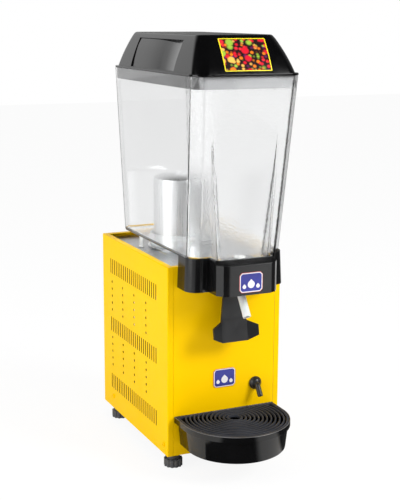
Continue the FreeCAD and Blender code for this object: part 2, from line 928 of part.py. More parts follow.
def housing_outside():
    """Skirt with rounded front corners, the bevelled nose and two thin ribs."""
    half, front, top = housing_top()
    bottom = housing_bottom_z
    draft = housing_draft
    skirt = stacked([ring_at(tongue_outline(half + draft, front - draft, front_y, housing_corner), bottom),
                     ring_at(tongue_outline(half, front, front_y, housing_corner), top)])
    outline = mirrored(nose_outline())
    bevel_z = top - nose_bevel_drop
    mouth_half, mouth_front = housing_mouth()
    rim = 2 * (housing_gap + housing_rim_wall)
    x, y, c = mouth_half + rim, mouth_front - rim, nose_crest_chamfer
    crest = mirrored([(-x, nose_root_y), (-x, y + 1.5 * c), (-x + c / 2, y + c / 2), (-x + 1.5 * c, y)])
    nose = plan_prism(outline, bottom, bevel_z)
    slope = faceted(ring_at(outline, bevel_z), ring_at(crest, top))
    rib = slab(-rib_x - rib_width / 2, -rib_x + rib_width / 2,
               front - draft - rib_height, front + past, bottom, top)
    return joined([skirt, nose, slope] + both_sides(rib))


def housing_hollows():
    """Rooms in the housing for the bowl's foot, the lever and the chute."""
    half, front, top = housing_top()
    bottom = housing_bottom_z
    wall = housing_rim_wall
    well = plan_prism(tongue_outline(half - wall, front + wall, front_y + past, housing_corner - wall),
                      bottom - past, top + past)
    outline = wire_of(ring_at(mirrored(nose_outline()), bottom - past))
    nose_room = top - nose_bevel_drop - housing_wall / 2 - bottom + past
    nose_well = Part.Face(outline.makeOffset2D(-housing_wall, 2)).extrude(Vector(0, 0, nose_room))
    mouth_half, mouth_front = housing_mouth()
    mouth = slab(-mouth_half, mouth_half, mouth_front, front_y - mouth_depth, bottom + past, top + past)
    return [well, nose_well, mouth]


def tap_housing():
    """Moulded skirt that holds the foot of the bowl and carries the lever."""
    half = housing_top()[0] - housing_rim_wall
    shell = housing_outside().cut(housing_hollows())
    tabs = both_sides(slab(-half - housing_rim_wall / 2, -half + panel_return,
                           front_y - housing_wall, front_y, housing_bottom_z, top_z))
    lug_in, lug_out = lug_faces()
    low = pinch_z - anvil_height / 2
    high = low + anvil_height
    lug_top = lever_pivot_z + lever_hub_radius + lug_margin
    lug_rear = lever_pivot_y + lever_hub_radius + lug_margin
    lugs = both_sides(slab(-lug_out, -lug_in, nose_front + housing_wall / 2, lug_rear, low, lug_top))
    radius = lever_pin_radius + running_gap
    pin_hole = bar(-lug_out - past, lug_out + past, lever_pivot_y, lever_pivot_z, radius)
    face = outlet_y - pinch_half_thickness - touch_gap
    back = face - anvil_depth
    bevel = anvil_bevel
    anvil = side_profile([(back, low), (face - bevel, low), (face, pinch_z - bevel), (face, pinch_z + bevel),
                          (face - bevel, high), (back, high)], lug_out - lug_thickness / 2)
    return shell.fuse(tabs + lugs + [anvil]).cut(pin_hole).removeSplitter()


def badge(y, z):
    """Blank badge plate with clipped corners, its back on the face at y."""
    w, h, c = badge_width / 2, badge_height / 2, badge_corner
    half = [(-w, c - h), (-w, h - c), (c - w, h)]
    outline = half + [(-x, up) for x, up in reversed(half)] + [(w - c, -h), (c - w, -h)]
    return face_of([(x, y, z + up) for x, up in outline]).extrude(Vector(0, -badge_thickness, 0))


def tap_lever():
    """Push lever: hub on the pin, pinch nose, tapering stem and a paddle with swept wings."""
    t = lever_thickness
    y = lever_pivot_y
    fold = (paddle_fold_y, paddle_fold_z)
    toe = (paddle_toe_y, paddle_toe_z)
    bend = [(y, lever_pivot_z), (y, lever_waist_z), fold, toe]
    stem = side_profile(bend + [(b + t, z) for b, z in reversed(bend)], paddle_fold_half)
    left = [(-paddle_fold_half, paddle_toe_z), (-paddle_fold_half, paddle_fold_z),
            (-lever_waist_half, lever_waist_z), (-lever_neck_half, lever_neck_z),
            (-lever_neck_half, lever_pivot_z)]
    silhouette = face_of([(x, paddle_toe_y - past, z) for x, z in mirrored(left)])
    stem = stem.common(silhouette.extrude(Vector(0, y + t - paddle_toe_y + 2 * past, 0)))
    fall = (paddle_toe_y - paddle_fold_y) / (paddle_toe_z - paddle_fold_z)
    lean = fall * (wing_high_z - wing_low_z) / 2
    wing = face_of([(-wing_half, wing_y + lean, wing_high_z), (-wing_half, wing_y - lean, wing_low_z),
                    (-paddle_fold_half, *toe), (-paddle_fold_half, *fold)])
    wings = both_sides(wing.extrude(Vector(0, t, 0)))
    hub = bar(-lever_hub_half, lever_hub_half, y, lever_pivot_z, lever_hub_radius)
    tip = outlet_y + pinch_half_thickness + touch_gap
    pad, root = nose_pad_half_height, nose_root_half_height
    nose = side_profile([(y + t / 2, pinch_z + root), (tip, pinch_z + pad), (tip, pinch_z - pad),
                         (y + t / 2, pinch_z - root)], nose_pad_half)
    reach = lever_hub_half + past
    bore = bar(-reach, reach, y, lever_pivot_z, lever_pin_radius + running_gap)
    return joined([stem, hub, nose] + wings).cut(bore)


def lever_pin():
    """Steel pin through the lugs and the lever's hub."""
    reach = lug_faces()[1] + lug_margin
    return bar(-reach, reach, lever_pivot_y, lever_pivot_z, lever_pin_radius)


def lever_spring():
    """Leaf spring from the cabinet's face to the back of the lever."""
    t = spring_thickness
    touch = lever_pivot_y + lever_thickness + touch_gap
    bend_z = spring_foot_z - spring_foot_height
    profile = [(front_y, spring_foot_z), (front_y - t, spring_foot_z), (front_y - t, bend_z),
               (touch, spring_tip_z), (touch + t, spring_tip_z - t), (front_y, bend_z - t)]
    return side_profile(profile, spring_width / 2)


def tube_leg(radius, start, end):
    """Straight run of the tube between two (y, z) places."""
    return sided_run(Vector(0, *start), Vector(0, *end), radius, tube_sides)


def pinch_tube():
    """Soft outlet tube, squeezed flat between the anvil and the lever's nose."""
    slope = math.tan(math.radians(tube_slant))
    high, low = pinch_z + pinch_height / 2, pinch_z - pinch_height / 2
    bend = (outlet_y, tube_bend_z)
    end = (outlet_y - (tube_bend_z - tube_end_z) * slope, tube_end_z)
    elbow_z = tube_bend_z - tube_radius * slope / 2
    legs = [tube_leg(tube_radius, (outlet_y, floor_z - tube_top_gap), (outlet_y, high)),
            tube_leg(tube_radius, (outlet_y, low), (outlet_y, elbow_z)),
            tube_leg(tube_radius, (outlet_y + slope * past, tube_bend_z + past), end)]
    t = pinch_half_thickness
    side = pinch_half_width - t
    lap = tube_lap
    legs.append(slab(-side, side, outlet_y - t, outlet_y + t, low - lap, high + lap))
    legs += both_sides(sided_post(-side, outlet_y, low - lap, high + lap, t, tube_sides))
    beyond = (end[0] - slope * past, end[1] - past)
    bores = [tube_leg(tube_bore, (outlet_y, floor_z), (outlet_y, high + 1.5 * lap)),
             tube_leg(tube_bore, (outlet_y, low - 1.5 * lap), bend),
             tube_leg(tube_bore, bend, beyond)]
    return joined(legs).cut(bores)


# Drip tray

def tray_hooks():
    """Two sheet channels on the front panel that carry the tray."""
    low = tray_top_z - tray_rim_height - hanger_depth
    x0, x1 = hook_x - hook_width / 2, hook_x + hook_width / 2
    outside = front_y - hook_back_sheet - hook_channel - hook_sheet
    parts = [
        slab(x0, x1, front_y - hook_back_sheet, front_y, low - hook_sheet, low + hook_lip_height),
        slab(x0, x1, outside, front_y, low - hook_sheet, low),
        slab(x0, x1, outside, outside + hook_sheet, low, low + hook_lip_height - hook_sheet),
    ]
    return Part.makeCompound(both_sides(joined(parts)))


def drip_tray():
    """Half round tray with a stepped rim, drafted walls and hangers under its rear edge."""
    back = front_y - tray_panel_gap
    wall_back = front_y - tray_back_gap
    rim_low = tray_top_z - tray_rim_height
    bottom = tray_top_z - tray_height
    seat_z = tray_top_z - grille_height
    body_radius = tray_radius - tray_step
    rim = plan_prism(tray_outline(tray_radius, back), rim_low, tray_top_z)
    body = stacked([ring_at(tray_outline(body_radius - tray_draft, wall_back), bottom),
                    ring_at(tray_outline(body_radius, wall_back), rim_low)])
    seat = plan_prism(tray_outline(tray_radius - grille_seat_wall, back - grille_seat_wall),
                      seat_z, tray_top_z + past)
    basin_radius = body_radius - grille_ledge
    basin_back = wall_back - tray_back_wall
    basin = stacked([ring_at(tray_outline(basin_radius - tray_draft, basin_back), bottom + tray_floor),
                     ring_at(tray_outline(basin_radius, basin_back), seat_z + past)])
    tray = joined([rim, body]).cut([seat, basin])
    hanger_rear = front_y - hook_back_sheet - fit_gap
    hanger_front = front_y - hook_back_sheet - hook_channel + fit_gap
    half = hook_width / 2 + hanger_overlap
    hanger = slab(hook_x - half, hook_x + half, hanger_front, hanger_rear,
                  rim_low - hanger_depth, rim_low + past)
    return tray.fuse(both_sides(hanger)).removeSplitter()


def grille_ring(radius):
    """One rib of the grille as a flat ring of many sides."""
    low, high = tray_top_z - grille_height, tray_top_z
    sides = ring_least_sides + 2 * round(radius / ring_side_step)
    outer = sided_post(0, tray_centre_y, low, high, radius + ring_width / 2, sides)
    inner = sided_post(0, tray_centre_y, low - past, high + past, radius - ring_width / 2, sides)
    return outer.cut(inner)


def drip_grille():
    """Concentric ribs in a half round frame, carried by spokes."""
    low, high = tray_top_z - grille_height, tray_top_z
    back = front_y - tray_panel_gap - grille_seat_wall - grille_gap
    radius = tray_radius - grille_seat_wall - grille_gap
    frame = plan_prism(tray_outline(radius, back), low, high)
    window = plan_prism(tray_outline(radius - grille_frame, back - grille_frame), low - past, high + past)
    plate = plan_prism(tray_outline(radius - grille_frame / 2, back - grille_frame / 2), low, high)
    pitch = (radius - ring_margin - ring_first) / (ring_count - 1)
    ribs = [grille_ring(ring_first + i * pitch).common(plate) for i in range(ring_count)]
    spokes = []
    for angle in spoke_angles:
        spoke = slab(ring_first, radius, -spoke_width / 2, spoke_width / 2, low, low + spoke_height)
        spoke.rotate(Vector(0, 0, 0), Vector(0, 0, 1), angle)
        spoke.translate(Vector(0, tray_centre_y, 0))
        spokes.append(spoke.common(plate))
    return joined([frame.cut(window)] + ribs + spokes)


def drain_spout():
    """Elbow that lets condensate from inside the cabinet run into the tray."""
    rim = ring_along_y(drain_x, drain_z, front_y, drain_flange_radius, drain_sides)
    edge = ring_along_y(drain_x, drain_z, front_y - drain_flange, drain_flange_radius, drain_sides)
    crown = ring_along_y(drain_x, drain_z, front_y - drain_flange - drain_dome, drain_cap_radius, drain_sides)
    base = face_of(rim).extrude(Vector(0, -drain_flange, 0))
    cap = faceted(crown, edge)
    inside = front_y + drain_shank
    shank = sided_along_y(drain_x, drain_z, front_y - drain_flange, inside, drain_radius, drain_sides)
    start = Vector(drain_x, front_y - drain_flange - drain_dome / 2, drain_z - drain_sag)
    run = Vector(0, -drain_reach, -drain_drop)
    leg = sided_run(start, start + run, drain_radius, drain_sides)
    mouth = start + run * drain_bore_start
    bore = sided_run(mouth, mouth + run, drain_bore, drain_sides)
    return joined([base, cap, shank, leg]).cut(bore)


# Rear fittings

def thermostat_body():
    """Thermostat behind the rear panel, its shaft passing through."""
    y = rear_y - sheet
    box = slab(knob_x - thermostat_half_width, knob_x + thermostat_half_width, y - thermostat_depth, y,
               fitting_z - thermostat_half_height, fitting_z + thermostat_half_height)
    return joined([box, shaft_along_y(knob_x, fitting_z, y, rear_y + thermostat_shaft, shaft_radius)])


def thermostat_knob():
    """Control knob with a pointer rib."""
    y0 = rear_y + touch_gap
    y1 = y0 + knob_disc
    disc = sided_along_y(knob_x, fitting_z, y0, y1, knob_radius, knob_sides)
    reach = knob_radius - knob_grip_inset
    grip = slab(knob_x - knob_grip_half, knob_x + knob_grip_half, y1, rear_y + rear_projection,
                fitting_z - reach, fitting_z + reach)
    bore = shaft_along_y(knob_x, fitting_z, y0 - past, rear_y + thermostat_shaft + touch_gap,
                         shaft_radius + running_gap)
    return joined([disc, grip]).cut(bore)


def rocker_pivot():
    """Middle of the rocker's pins."""
    return Vector(switch_x, rear_y - rocker_pivot_depth, fitting_z)


def switch_body():
    """Power switch housing with its bezel on the rear panel and sockets for the rocker's pins."""
    w, h = switch_width / 2, switch_height / 2
    well_w, well_h = w - switch_wall, h - switch_wall
    x, z = switch_x, fitting_z
    box = slab(x - w, x + w, rear_y - switch_depth, rear_y + bezel, z - h, z + h)
    rim = slab(x - w - bezel, x + w + bezel, rear_y, rear_y + bezel, z - h - bezel, z + h + bezel)
    well = slab(x - well_w, x + well_w, rear_y - switch_well, rear_y + bezel + past, z - well_h, z + well_h)
    reach = well_w + rocker_pin_reach + touch_gap / 2
    pivot = rocker_pivot()
    sockets = bar(x - reach, x + reach, pivot.y, pivot.z, rocker_pin_radius + running_gap)
    return joined([box, rim]).cut([well, sockets])


def switch_rocker():
    """Rocker key on its two pins, stored tilted to its off side."""
    w = switch_width / 2 - rocker_side_gap
    h = switch_height / 2 - rocker_end_gap
    pivot = rocker_pivot()
    root, crown, waist = rocker_root, rocker_crown, rocker_waist
    profile = [(pivot.y - root, pivot.z - root), (pivot.y + crown, pivot.z - h), (pivot.y + waist, pivot.z),
               (pivot.y + crown, pivot.z + h), (pivot.y - root, pivot.z + root)]
    key = face_of([(switch_x - w, y, z) for y, z in profile]).extrude(Vector(2 * w, 0, 0))
    reach = switch_width / 2 - switch_wall + rocker_pin_reach
    pins = bar(switch_x - reach, switch_x + reach, pivot.y, pivot.z, rocker_pin_radius)
    key = joined([key, pins])
    key.rotate(pivot, Vector(1, 0, 0), -rocker_tilt)
    return key


def cord_gland():
    """Bushing in the rear panel for the power cord."""
    inside = rear_y - sheet - gland_inside
    outside = rear_y + gland_outside
    body = sided_along_y(gland_x, gland_z, inside, rear_y, gland_radius, gland_sides)
    head = sided_along_y(gland_x, gland_z, rear_y, outside, gland_nut_radius, nut_sides)
    bore = shaft_along_y(gland_x, gland_z, inside - past, outside + past, gland_bore)
    return joined([body, head]).cut(bore)


# Refrigeration set

def pan_floor():
    """Height of the base pan's upper face."""
    return pan_z + pan_sheet


def plate_top():
    """Height of the compressor's foot plate."""
    return pan_floor() + grommet_height + foot_plate


def crown_top():
    """Height of the compressor's crown."""
    return plate_top() + compressor_can + compressor_shoulder


def condenser_top():
    """Height of the condenser's fins."""
    return pan_floor() + condenser_lift + condenser_height


def compressor():
    """Sealed compressor shell on its foot plate."""
    y = compressor_y
    plate = slab(-foot_plate_half, foot_plate_half, y - foot_plate_depth, y + foot_plate_depth,
                 plate_top() - foot_plate, plate_top())
    wall = [ring_at([(a, b + y) for a, b in disc_points(compressor_radius, hidden_sides)], z)
            for z in (plate_top(), plate_top() + compressor_can)]
    crown = ring_at([(a, b + y) for a, b in disc_points(compressor_crown_radius, hidden_sides)], crown_top())
    terminals = slab(-terminal_half, terminal_half, y - compressor_radius - terminal_depth, y,
                     plate_top() + terminal_low, plate_top() + terminal_high)
    return joined([plate, stacked(wall + [crown]), terminals])


def compressor_grommets():
    """Rubber grommets between the foot plate and the base pan."""
    low, high = pan_floor(), pan_floor() + grommet_height
    x = foot_plate_half - grommet_radius - grommet_margin
    feet = []
    for side in (-1, 1):
        y = compressor_y + side * (foot_plate_depth - grommet_radius - grommet_margin)
        feet += both_sides(sided_post(-x, y, low, high, grommet_radius, grommet_sides))
    return Part.makeCompound(feet)


def start_relay():
    """Relay and overload box pushed onto the compressor's terminals."""
    rear = compressor_y - compressor_radius - terminal_depth
    return slab(-relay_width / 2, relay_width / 2, rear - relay_depth, rear,
                plate_top(), plate_top() + relay_height)


def condenser():
    """Fin block of the condenser, a comb of plates on its tube rows."""
    base = pan_floor()
    pitch = (2 * condenser_half - fin_thickness) / (fin_count - 1)
    y0, y1 = condenser_front_y, condenser_front_y + condenser_depth
    middle = (y0 + y1) / 2
    near_root, far_root = middle - fin_root / 2, middle + fin_root / 2
    near_side = []
    far_side = []
    for i in range(fin_count):
        x = -condenser_half + i * pitch
        far_x = x + fin_thickness
        near_side += [(x, near_root), (x, y0), (far_x, y0), (far_x, near_root)]
        far_side += [(x, far_root), (x, y1), (far_x, y1), (far_x, far_root)]
    core = plan_prism(near_side + far_side[::-1], base + condenser_lift, condenser_top())
    stand = slab(-condenser_half, -condenser_half + fin_thickness, y0, y1, base, base + condenser_lift)
    return joined([core] + both_sides(stand))


def fan_centre():
    """Height of the fan's shaft."""
    return pan_floor() + condenser_lift + condenser_height / 2


def shroud_front():
    """Front face of the fan shroud, against the condenser."""
    return condenser_front_y + condenser_depth


def motor_rear():
    """Rear face of the fan motor, on its strap."""
    return shroud_front() + shroud_sheet + fan_hub_depth + fan_motor_depth + fan_motor_gap


def fan_shroud():
    """Sheet that ducts the air through the condenser to the fan."""
    y0 = shroud_front()
    y1 = y0 + shroud_sheet
    wall = slab(-shroud_half, shroud_half, y0, y1, pan_floor(), condenser_top())
    foot = slab(-shroud_half, shroud_half, y0, y0 + shroud_foot, pan_floor(), pan_floor() + shroud_sheet)
    hole = sided_along_y(0, fan_centre(), y0 - past, y1 + past, fan_radius + fan_tip_gap, hidden_sides)
    return joined([wall, foot]).cut(hole)


def fan_bracket():
    """Strap across the shroud that carries the fan motor."""
    y0, y1 = shroud_front() + shroud_sheet, motor_rear()
    low, high = fan_centre() - fan_bar_height / 2, fan_centre() + fan_bar_height / 2
    strap = slab(-shroud_half, shroud_half, y1, y1 + fan_bar, low, high)
    arm = slab(-shroud_half, -shroud_half + fan_bar, y0, y1, low, high)
    return joined([strap] + both_sides(arm))


def fan_motor():
    """Fan motor on the strap, its shaft towards the condenser."""
    front = motor_rear() - fan_motor_depth
    can = sided_along_y(0, fan_centre(), front, motor_rear(), fan_motor_radius, hidden_sides)
    return joined([can, shaft_along_y(0, fan_centre(), front - fan_hub_depth, front, shaft_radius)])


def blade_section(height, chord, pitch, middle):
    """Four corners of a blade's section at a height above the fan's middle."""
    lean = math.radians(pitch)
    x, y = math.cos(lean) * chord / 2, math.sin(lean) * chord / 2
    t = fan_blade_thickness
    return [(-x, middle - y, height), (x, middle + y, height),
            (x, middle + y + t, height), (-x, middle - y + t, height)]


def fan_blade():
    """Axial fan wheel, blades set at an angle round the hub."""
    y0 = shroud_front() + shroud_sheet + fan_hub_gap
    y1 = y0 + fan_hub_depth
    z = fan_centre()
    hub = sided_along_y(0, z, y0, y1, fan_hub_radius, hidden_sides)
    middle = (y0 + y1) / 2
    blades = []
    for i in range(fan_blades):
        root = blade_section(fan_hub_radius - fan_root_depth, fan_root_chord, fan_root_pitch, middle)
        tip = blade_section(fan_radius, fan_tip_chord, fan_tip_pitch, middle)
        blade = faceted(root, tip)
        blade.rotate(Vector(0, 0, 0), Vector(0, 1, 0), 360 * i / fan_blades)
        blade.translate(Vector(0, 0, z))
        blades.append(blade)
    bore = shaft_along_y(0, z, y0 + fan_hub_cap, y1 + past, shaft_radius + running_gap)
    return joined([hub] + blades).cut(bore)


def pipe_run(points):
    """Copper pipe of straight runs with lapped corners."""
    pieces = []
    for a, b in zip(points, points[1:]):
        start, end = Vector(*a), Vector(*b)
        lap = (end - start).normalize() * pipe_radius
        first = start - lap * (a != points[0])
        last = end + lap * (b != points[-1])
        pieces.append(sided_run(first, last, pipe_radius, pipe_sides))
    return joined(pieces)


def refrigerant_lines():
    """Copper lines from the compressor to the condenser and to the cooling cup."""
    crown = crown_top()
    high = crown + pipe_rise
    suction = pipe_run([(pipe_x, compressor_y, crown), (pipe_x, compressor_y, high), (pipe_x, cup_y, high),
                        (pipe_x, cup_y, deck_z - cup_below_deck)])
    low = condenser_top()
    over = low + pipe_radius + past
    y = condenser_front_y + condenser_depth / 2
    discharge = pipe_run([(-pipe_x, compressor_y, crown), (-pipe_x, compressor_y, over), (-pipe_x, y, over),
                          (-pipe_x, y, low)])
    return Part.makeCompound([suction, discharge])


def filter_drier():
    """Drier cartridge standing on the condenser's outlet."""
    y = condenser_front_y + condenser_depth / 2
    return sided_post(drier_x, y, condenser_top(), condenser_top() + drier_length, drier_radius, post_sides)


def foam_block():
    """Insulation that carries the cup's lower end under the deck."""
    low = deck_z - cup_below_deck
    block = slab(-foam_half, foam_half, cup_y - foam_front, cup_y + foam_half, low, deck_z - deck_sheet)
    return block.cut(sided_post(0, cup_y, low - past, deck_z, cup_radius + foam_gap, cup_sides))


def build():
    os.makedirs("parts", exist_ok=True)
    left_shell = side_shell()
    nodes = {
        "base_pan": base_pan(),
        "side_shell_left": left_shell,
        "side_shell_right": left_shell.mirror(Vector(0, 0, 0), Vector(1, 0, 0)),
        "front_panel": front_panel(),
        "rear_panel": rear_panel(),
        "top_deck": top_deck(),
        "shell_screws": shell_screws(),
        "foot_front_left": levelling_foot(-foot_x, foot_front_y),
        "foot_front_right": levelling_foot(foot_x, foot_front_y),
        "foot_rear_left": levelling_foot(-foot_x, foot_rear_y),
        "foot_rear_right": levelling_foot(foot_x, foot_rear_y),
        "bowl": bowl(),
        "bowl_spigot": bowl_spigot(),
        "evaporator": evaporator(),
        "bowl_gasket": bowl_gasket(),
        "bowl_posts": bowl_posts(),
        "impeller": impeller(),
        "drive_magnet": drive_magnet(),
        "stirrer_motor": stirrer_motor(),
        "lid": lid(),
        "lid_label": lid_label(),
        "tap_housing": tap_housing(),
        "housing_badge": badge(nose_front, housing_badge_z),
        "panel_badge": badge(front_y, panel_badge_z),
        "tap_lever": tap_lever(),
        "lever_pin": lever_pin(),
        "lever_spring": lever_spring(),
        "pinch_tube": pinch_tube(),
        "tray_hooks": tray_hooks(),
        "drip_tray": drip_tray(),
        "drip_grille": drip_grille(),
        "drain_spout": drain_spout(),
        "thermostat_body": thermostat_body(),
        "thermostat_knob": thermostat_knob(),
        "switch_body": switch_body(),
        "switch_rocker": switch_rocker(),
        "cord_gland": cord_gland(),
        "compressor": compressor(),
        "compressor_grommets": compressor_grommets(),
        "start_relay": start_relay(),
        "condenser": condenser(),
        "fan_shroud": fan_shroud(),
        "fan_bracket": fan_bracket(),
        "fan_motor": fan_motor(),
        "fan_blade": fan_blade(),
        "refrigerant_lines": refrigerant_lines(),
        "filter_drier": filter_drier(),
        "foam_block": foam_block(),
    }
    for name, shape in nodes.items():
        save(name, shape)
    return nodes


nodes = build()
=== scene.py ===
import math
import bpy
import bmesh
from mathutils import Matrix, Vector


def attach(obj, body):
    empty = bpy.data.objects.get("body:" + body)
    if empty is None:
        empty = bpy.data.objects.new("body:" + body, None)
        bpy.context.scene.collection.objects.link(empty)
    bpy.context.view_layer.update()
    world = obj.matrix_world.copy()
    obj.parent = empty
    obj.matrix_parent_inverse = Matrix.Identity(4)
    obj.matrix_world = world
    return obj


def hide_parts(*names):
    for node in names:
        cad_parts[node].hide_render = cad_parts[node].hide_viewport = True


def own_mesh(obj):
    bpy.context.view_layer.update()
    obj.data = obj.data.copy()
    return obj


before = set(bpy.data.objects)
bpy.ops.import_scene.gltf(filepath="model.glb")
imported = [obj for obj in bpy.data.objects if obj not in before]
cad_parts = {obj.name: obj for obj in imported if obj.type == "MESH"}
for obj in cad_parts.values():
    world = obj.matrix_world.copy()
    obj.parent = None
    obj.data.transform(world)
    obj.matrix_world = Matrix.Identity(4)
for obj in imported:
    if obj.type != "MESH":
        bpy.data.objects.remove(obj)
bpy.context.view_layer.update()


# Table top, backdrop, lamps and camera. The dispenser stands on a plain white table
# and is seen from its left front, a little above the lid.

def rgb(tone):
    """Opaque colour from a triple, or a grey from one number."""
    return (*tone, 1) if isinstance(tone, tuple) else (tone, tone, tone, 1)


def feed(tree, socket, source):
    """Link a socket to an input, or give the input a value."""
    if isinstance(source, bpy.types.NodeSocket):
        tree.links.new(source, socket)
    else:
        socket.default_value = source


def wire(tree, kind, *sources, out=0, **named):
    """Output of a new shader node. Sources go to its first inputs in order, capitalised names
    to the inputs of that name, and names in lower case are its properties."""
    node = tree.nodes.new("ShaderNode" + kind)
    inputs = list(zip(node.inputs, sources))
    for name, value in named.items():
        if name.islower():
            setattr(node, name, value)
        else:
            inputs.append((node.inputs[name.replace("_", " ")], value))
    for socket, source in inputs:
        feed(tree, socket, source)
    return node.outputs[out]


def compute(tree, operation, a, b):
    """Sum, product and the like of two sockets or numbers."""
    return wire(tree, "Math", a, b, operation=operation)


def ramp(tree, factor, stops):
    """Colour ramp through stops of (place, colour)."""
    colour = wire(tree, "ValToRGB", factor)
    elements = colour.node.color_ramp.elements
    for _ in stops[2:]:
        elements.new(0.5)
    for element, (place, tone) in zip(elements, stops):
        element.position = place
        element.color = rgb(tone)
    return colour


def colour_mix(tree, factor, below, above):
    """Mix of two colours, each a socket or a colour."""
    mix = wire(tree, "Mix", Factor=factor, data_type="RGBA", out=2)
    feed(tree, mix.node.inputs[6], below)
    feed(tree, mix.node.inputs[7], above)
    return mix


def along(tree, place, axis):
    """One coordinate of a place."""
    return wire(tree, "SeparateXYZ", place, out=axis)


def levels_round(tree, place, levels):
    """Grey by the bearing of a place, given as (degrees, level). The dispenser's left side is at 0,
    the far side at 90 and the camera's at -90."""
    left = compute(tree, "MULTIPLY", along(tree, place, "X"), -1)
    bearing = compute(tree, "ARCTAN2", along(tree, place, "Y"), left)
    turn = wire(tree, "MapRange", bearing, -math.pi, math.pi)
    return ramp(tree, turn, [((degrees + 180) / 360, level) for degrees, level in levels])


def paper_white(name, tone):
    """Pale surface that takes shadows and shows white to the camera and through clear plastic.
    In gloss it is dark near the dispenser's front and in front of its two corners."""
    material = bpy.data.materials.new(name)
    material.use_nodes = True
    tree = material.node_tree
    tree.nodes.remove(tree.nodes["Principled BSDF"])
    place = wire(tree, "TexCoord", out="Object")
    fibre = wire(tree, "TexNoise", place, Scale=40)
    paper = wire(tree, "BsdfDiffuse", ramp(tree, fibre, ((0, tone - 0.01), (1, tone + 0.01))))
    corners = levels_round(tree, place, (
        (-134, 1), (-128, 0), (-102, 0), (-96, 1), (-58, 1), (-52, 0), (150, 0), (160, 1)))
    near = wire(tree, "MapRange", along(tree, place, "Y"), -1.15, -0.95)
    before = compute(tree, "LESS_THAN", along(tree, place, "Y"), -0.16)
    across = compute(tree, "ADD", along(tree, place, "X"), 0.5)
    strip = compute(tree, "MULTIPLY", compute(tree, "MULTIPLY", near, before),
                    ramp(tree, across, ((0.312, 0), (0.318, 1), (0.502, 1), (0.508, 0))))
    ray = wire(tree, "LightPath").node.outputs
    thinned = compute(tree, "MULTIPLY", ray["Is Transmission Ray"], 0.6)
    reflected = compute(tree, "MAXIMUM", ray["Is Glossy Ray"], thinned)
    dark = compute(tree, "MULTIPLY", compute(tree, "MAXIMUM", corners, strip), reflected)
    seen = compute(tree, "MAXIMUM", ray["Is Camera Ray"], ray["Is Transmission Ray"])
    lit = wire(tree, "MixShader", compute(tree, "MULTIPLY", seen, 0.88), paper,
               wire(tree, "Emission", Strength=1.02))
    surface = wire(tree, "MixShader", dark, lit, wire(tree, "Emission", rgb(0.05)))
    tree.links.new(surface, tree.nodes["Material Output"].inputs["Surface"])
    return material


def soft_lamp(name, place, aim, width, height, power):
    """Soft rectangular studio lamp turned towards a point."""
    data = bpy.data.lights.new(name, "AREA")
    data.shape = "RECTANGLE"
    data.size = width
    data.size_y = height
    data.energy = power
    lamp = bpy.data.objects.new(name, data)
    lamp.location = place
    lamp.rotation_euler = (Vector(aim) - Vector(place)).to_track_quat("-Z", "Y").to_euler()
    bpy.context.scene.collection.objects.link(lamp)


lens = bpy.data.cameras.new("camera")
lens.sensor_width = 36
lens.lens = 79.19
lens.clip_end = 30
camera = bpy.data.objects.new("camera", lens)
camera.matrix_world = (
    Matrix.Translation((-0.74, -1.6074, 0.7132))
    @ Matrix.Rotation(math.radians(-24.635), 4, "Z")
    @ Matrix.Rotation(math.radians(90 - 12.1), 4, "X")
    @ Matrix.Rotation(math.radians(0.321), 4, "Z"))
bpy.context.scene.collection.objects.link(camera)
bpy.context.scene.camera = camera

bpy.ops.object.select_all(action="DESELECT")
bpy.ops.mesh.primitive_plane_add(size=14, location=(0, 0, -0.0002))
table_top = bpy.context.active_object
table_top.name = "table_top"
table_top.data.materials.append(paper_white("table_paper", 0.9))

studio = bpy.data.worlds.new("studio")
bpy.context.scene.world = studio
studio.use_nodes = True
air = studio.node_tree
air_place = wire(air, "TexCoord", out="Generated")
air_height = wire(air, "MapRange", along(air, air_place, "Z"), 0.45, 0.75)
air_ray = wire(air, "LightPath").node.outputs
fill_light = air.nodes["Background"]
fill_light.inputs["Color"].default_value = rgb(1)
fill_light.inputs["Strength"].default_value = 0.62
air_light = fill_light.outputs[0]
sheen = levels_round(air, air_place, ((-180, 0.05), (48, 0.05), (60, 1), (113, 1), (118, 0.25), (180, 0.1)))
through = levels_round(air, air_place, (
    (-180, 0.35), (-44, 0.28), (-34, 1.1), (25, 1.1), (42, 1), (125, 1), (175, 0.35)))
for kind, sky in (("Is Glossy Ray", colour_mix(air, air_height, sheen, rgb(0.03))),
                  ("Is Transmission Ray", colour_mix(air, air_height, through, rgb(0.5))),
                  ("Is Camera Ray", rgb(1))):
    air_light = wire(air, "MixShader", air_ray[kind], air_light, wire(air, "Background", sky))
air.links.new(air_light, air.nodes["World Output"].inputs["Surface"])

soft_lamp("key_softbox", (1.3, -1.7, 1.5), (0, 0, 0.3), 0.9, 0.9, 44)
soft_lamp("left_softbox", (-1.8, -0.3, 0.9), (0, 0, 0.35), 1.4, 1.6, 20.5)

bpy.context.scene.view_settings.view_transform = "Standard"


# Levelling feet. Black fluted plastic knobs moulded on threaded studs; each one
# screws up into a weld nut of the base pan.

ORIGIN = (0, 0, 0)
X, Y, Z = range(3)


def leave_edit():
    """Back to object mode."""
    bpy.ops.object.mode_set(mode="OBJECT")


def clear_selection():
    """Object mode with nothing selected."""
    if bpy.context.mode != "OBJECT":
        leave_edit()
    bpy.ops.object.select_all(action="DESELECT")


def hold(piece):
    """Make one piece the only one selected, and the active one."""
    clear_selection()
    piece.select_set(True)
    bpy.context.view_layer.objects.active = piece


def apply_place(piece):
    """Put a piece's place into its mesh."""
    hold(piece)
    bpy.ops.object.transform_apply(location=True, rotation=True, scale=True)


def settled(name):
    """Name the new primitive and put its place into its mesh."""
    piece = bpy.context.active_object
    piece.name = name
    piece.data.name = name
    apply_place(piece)
    return piece


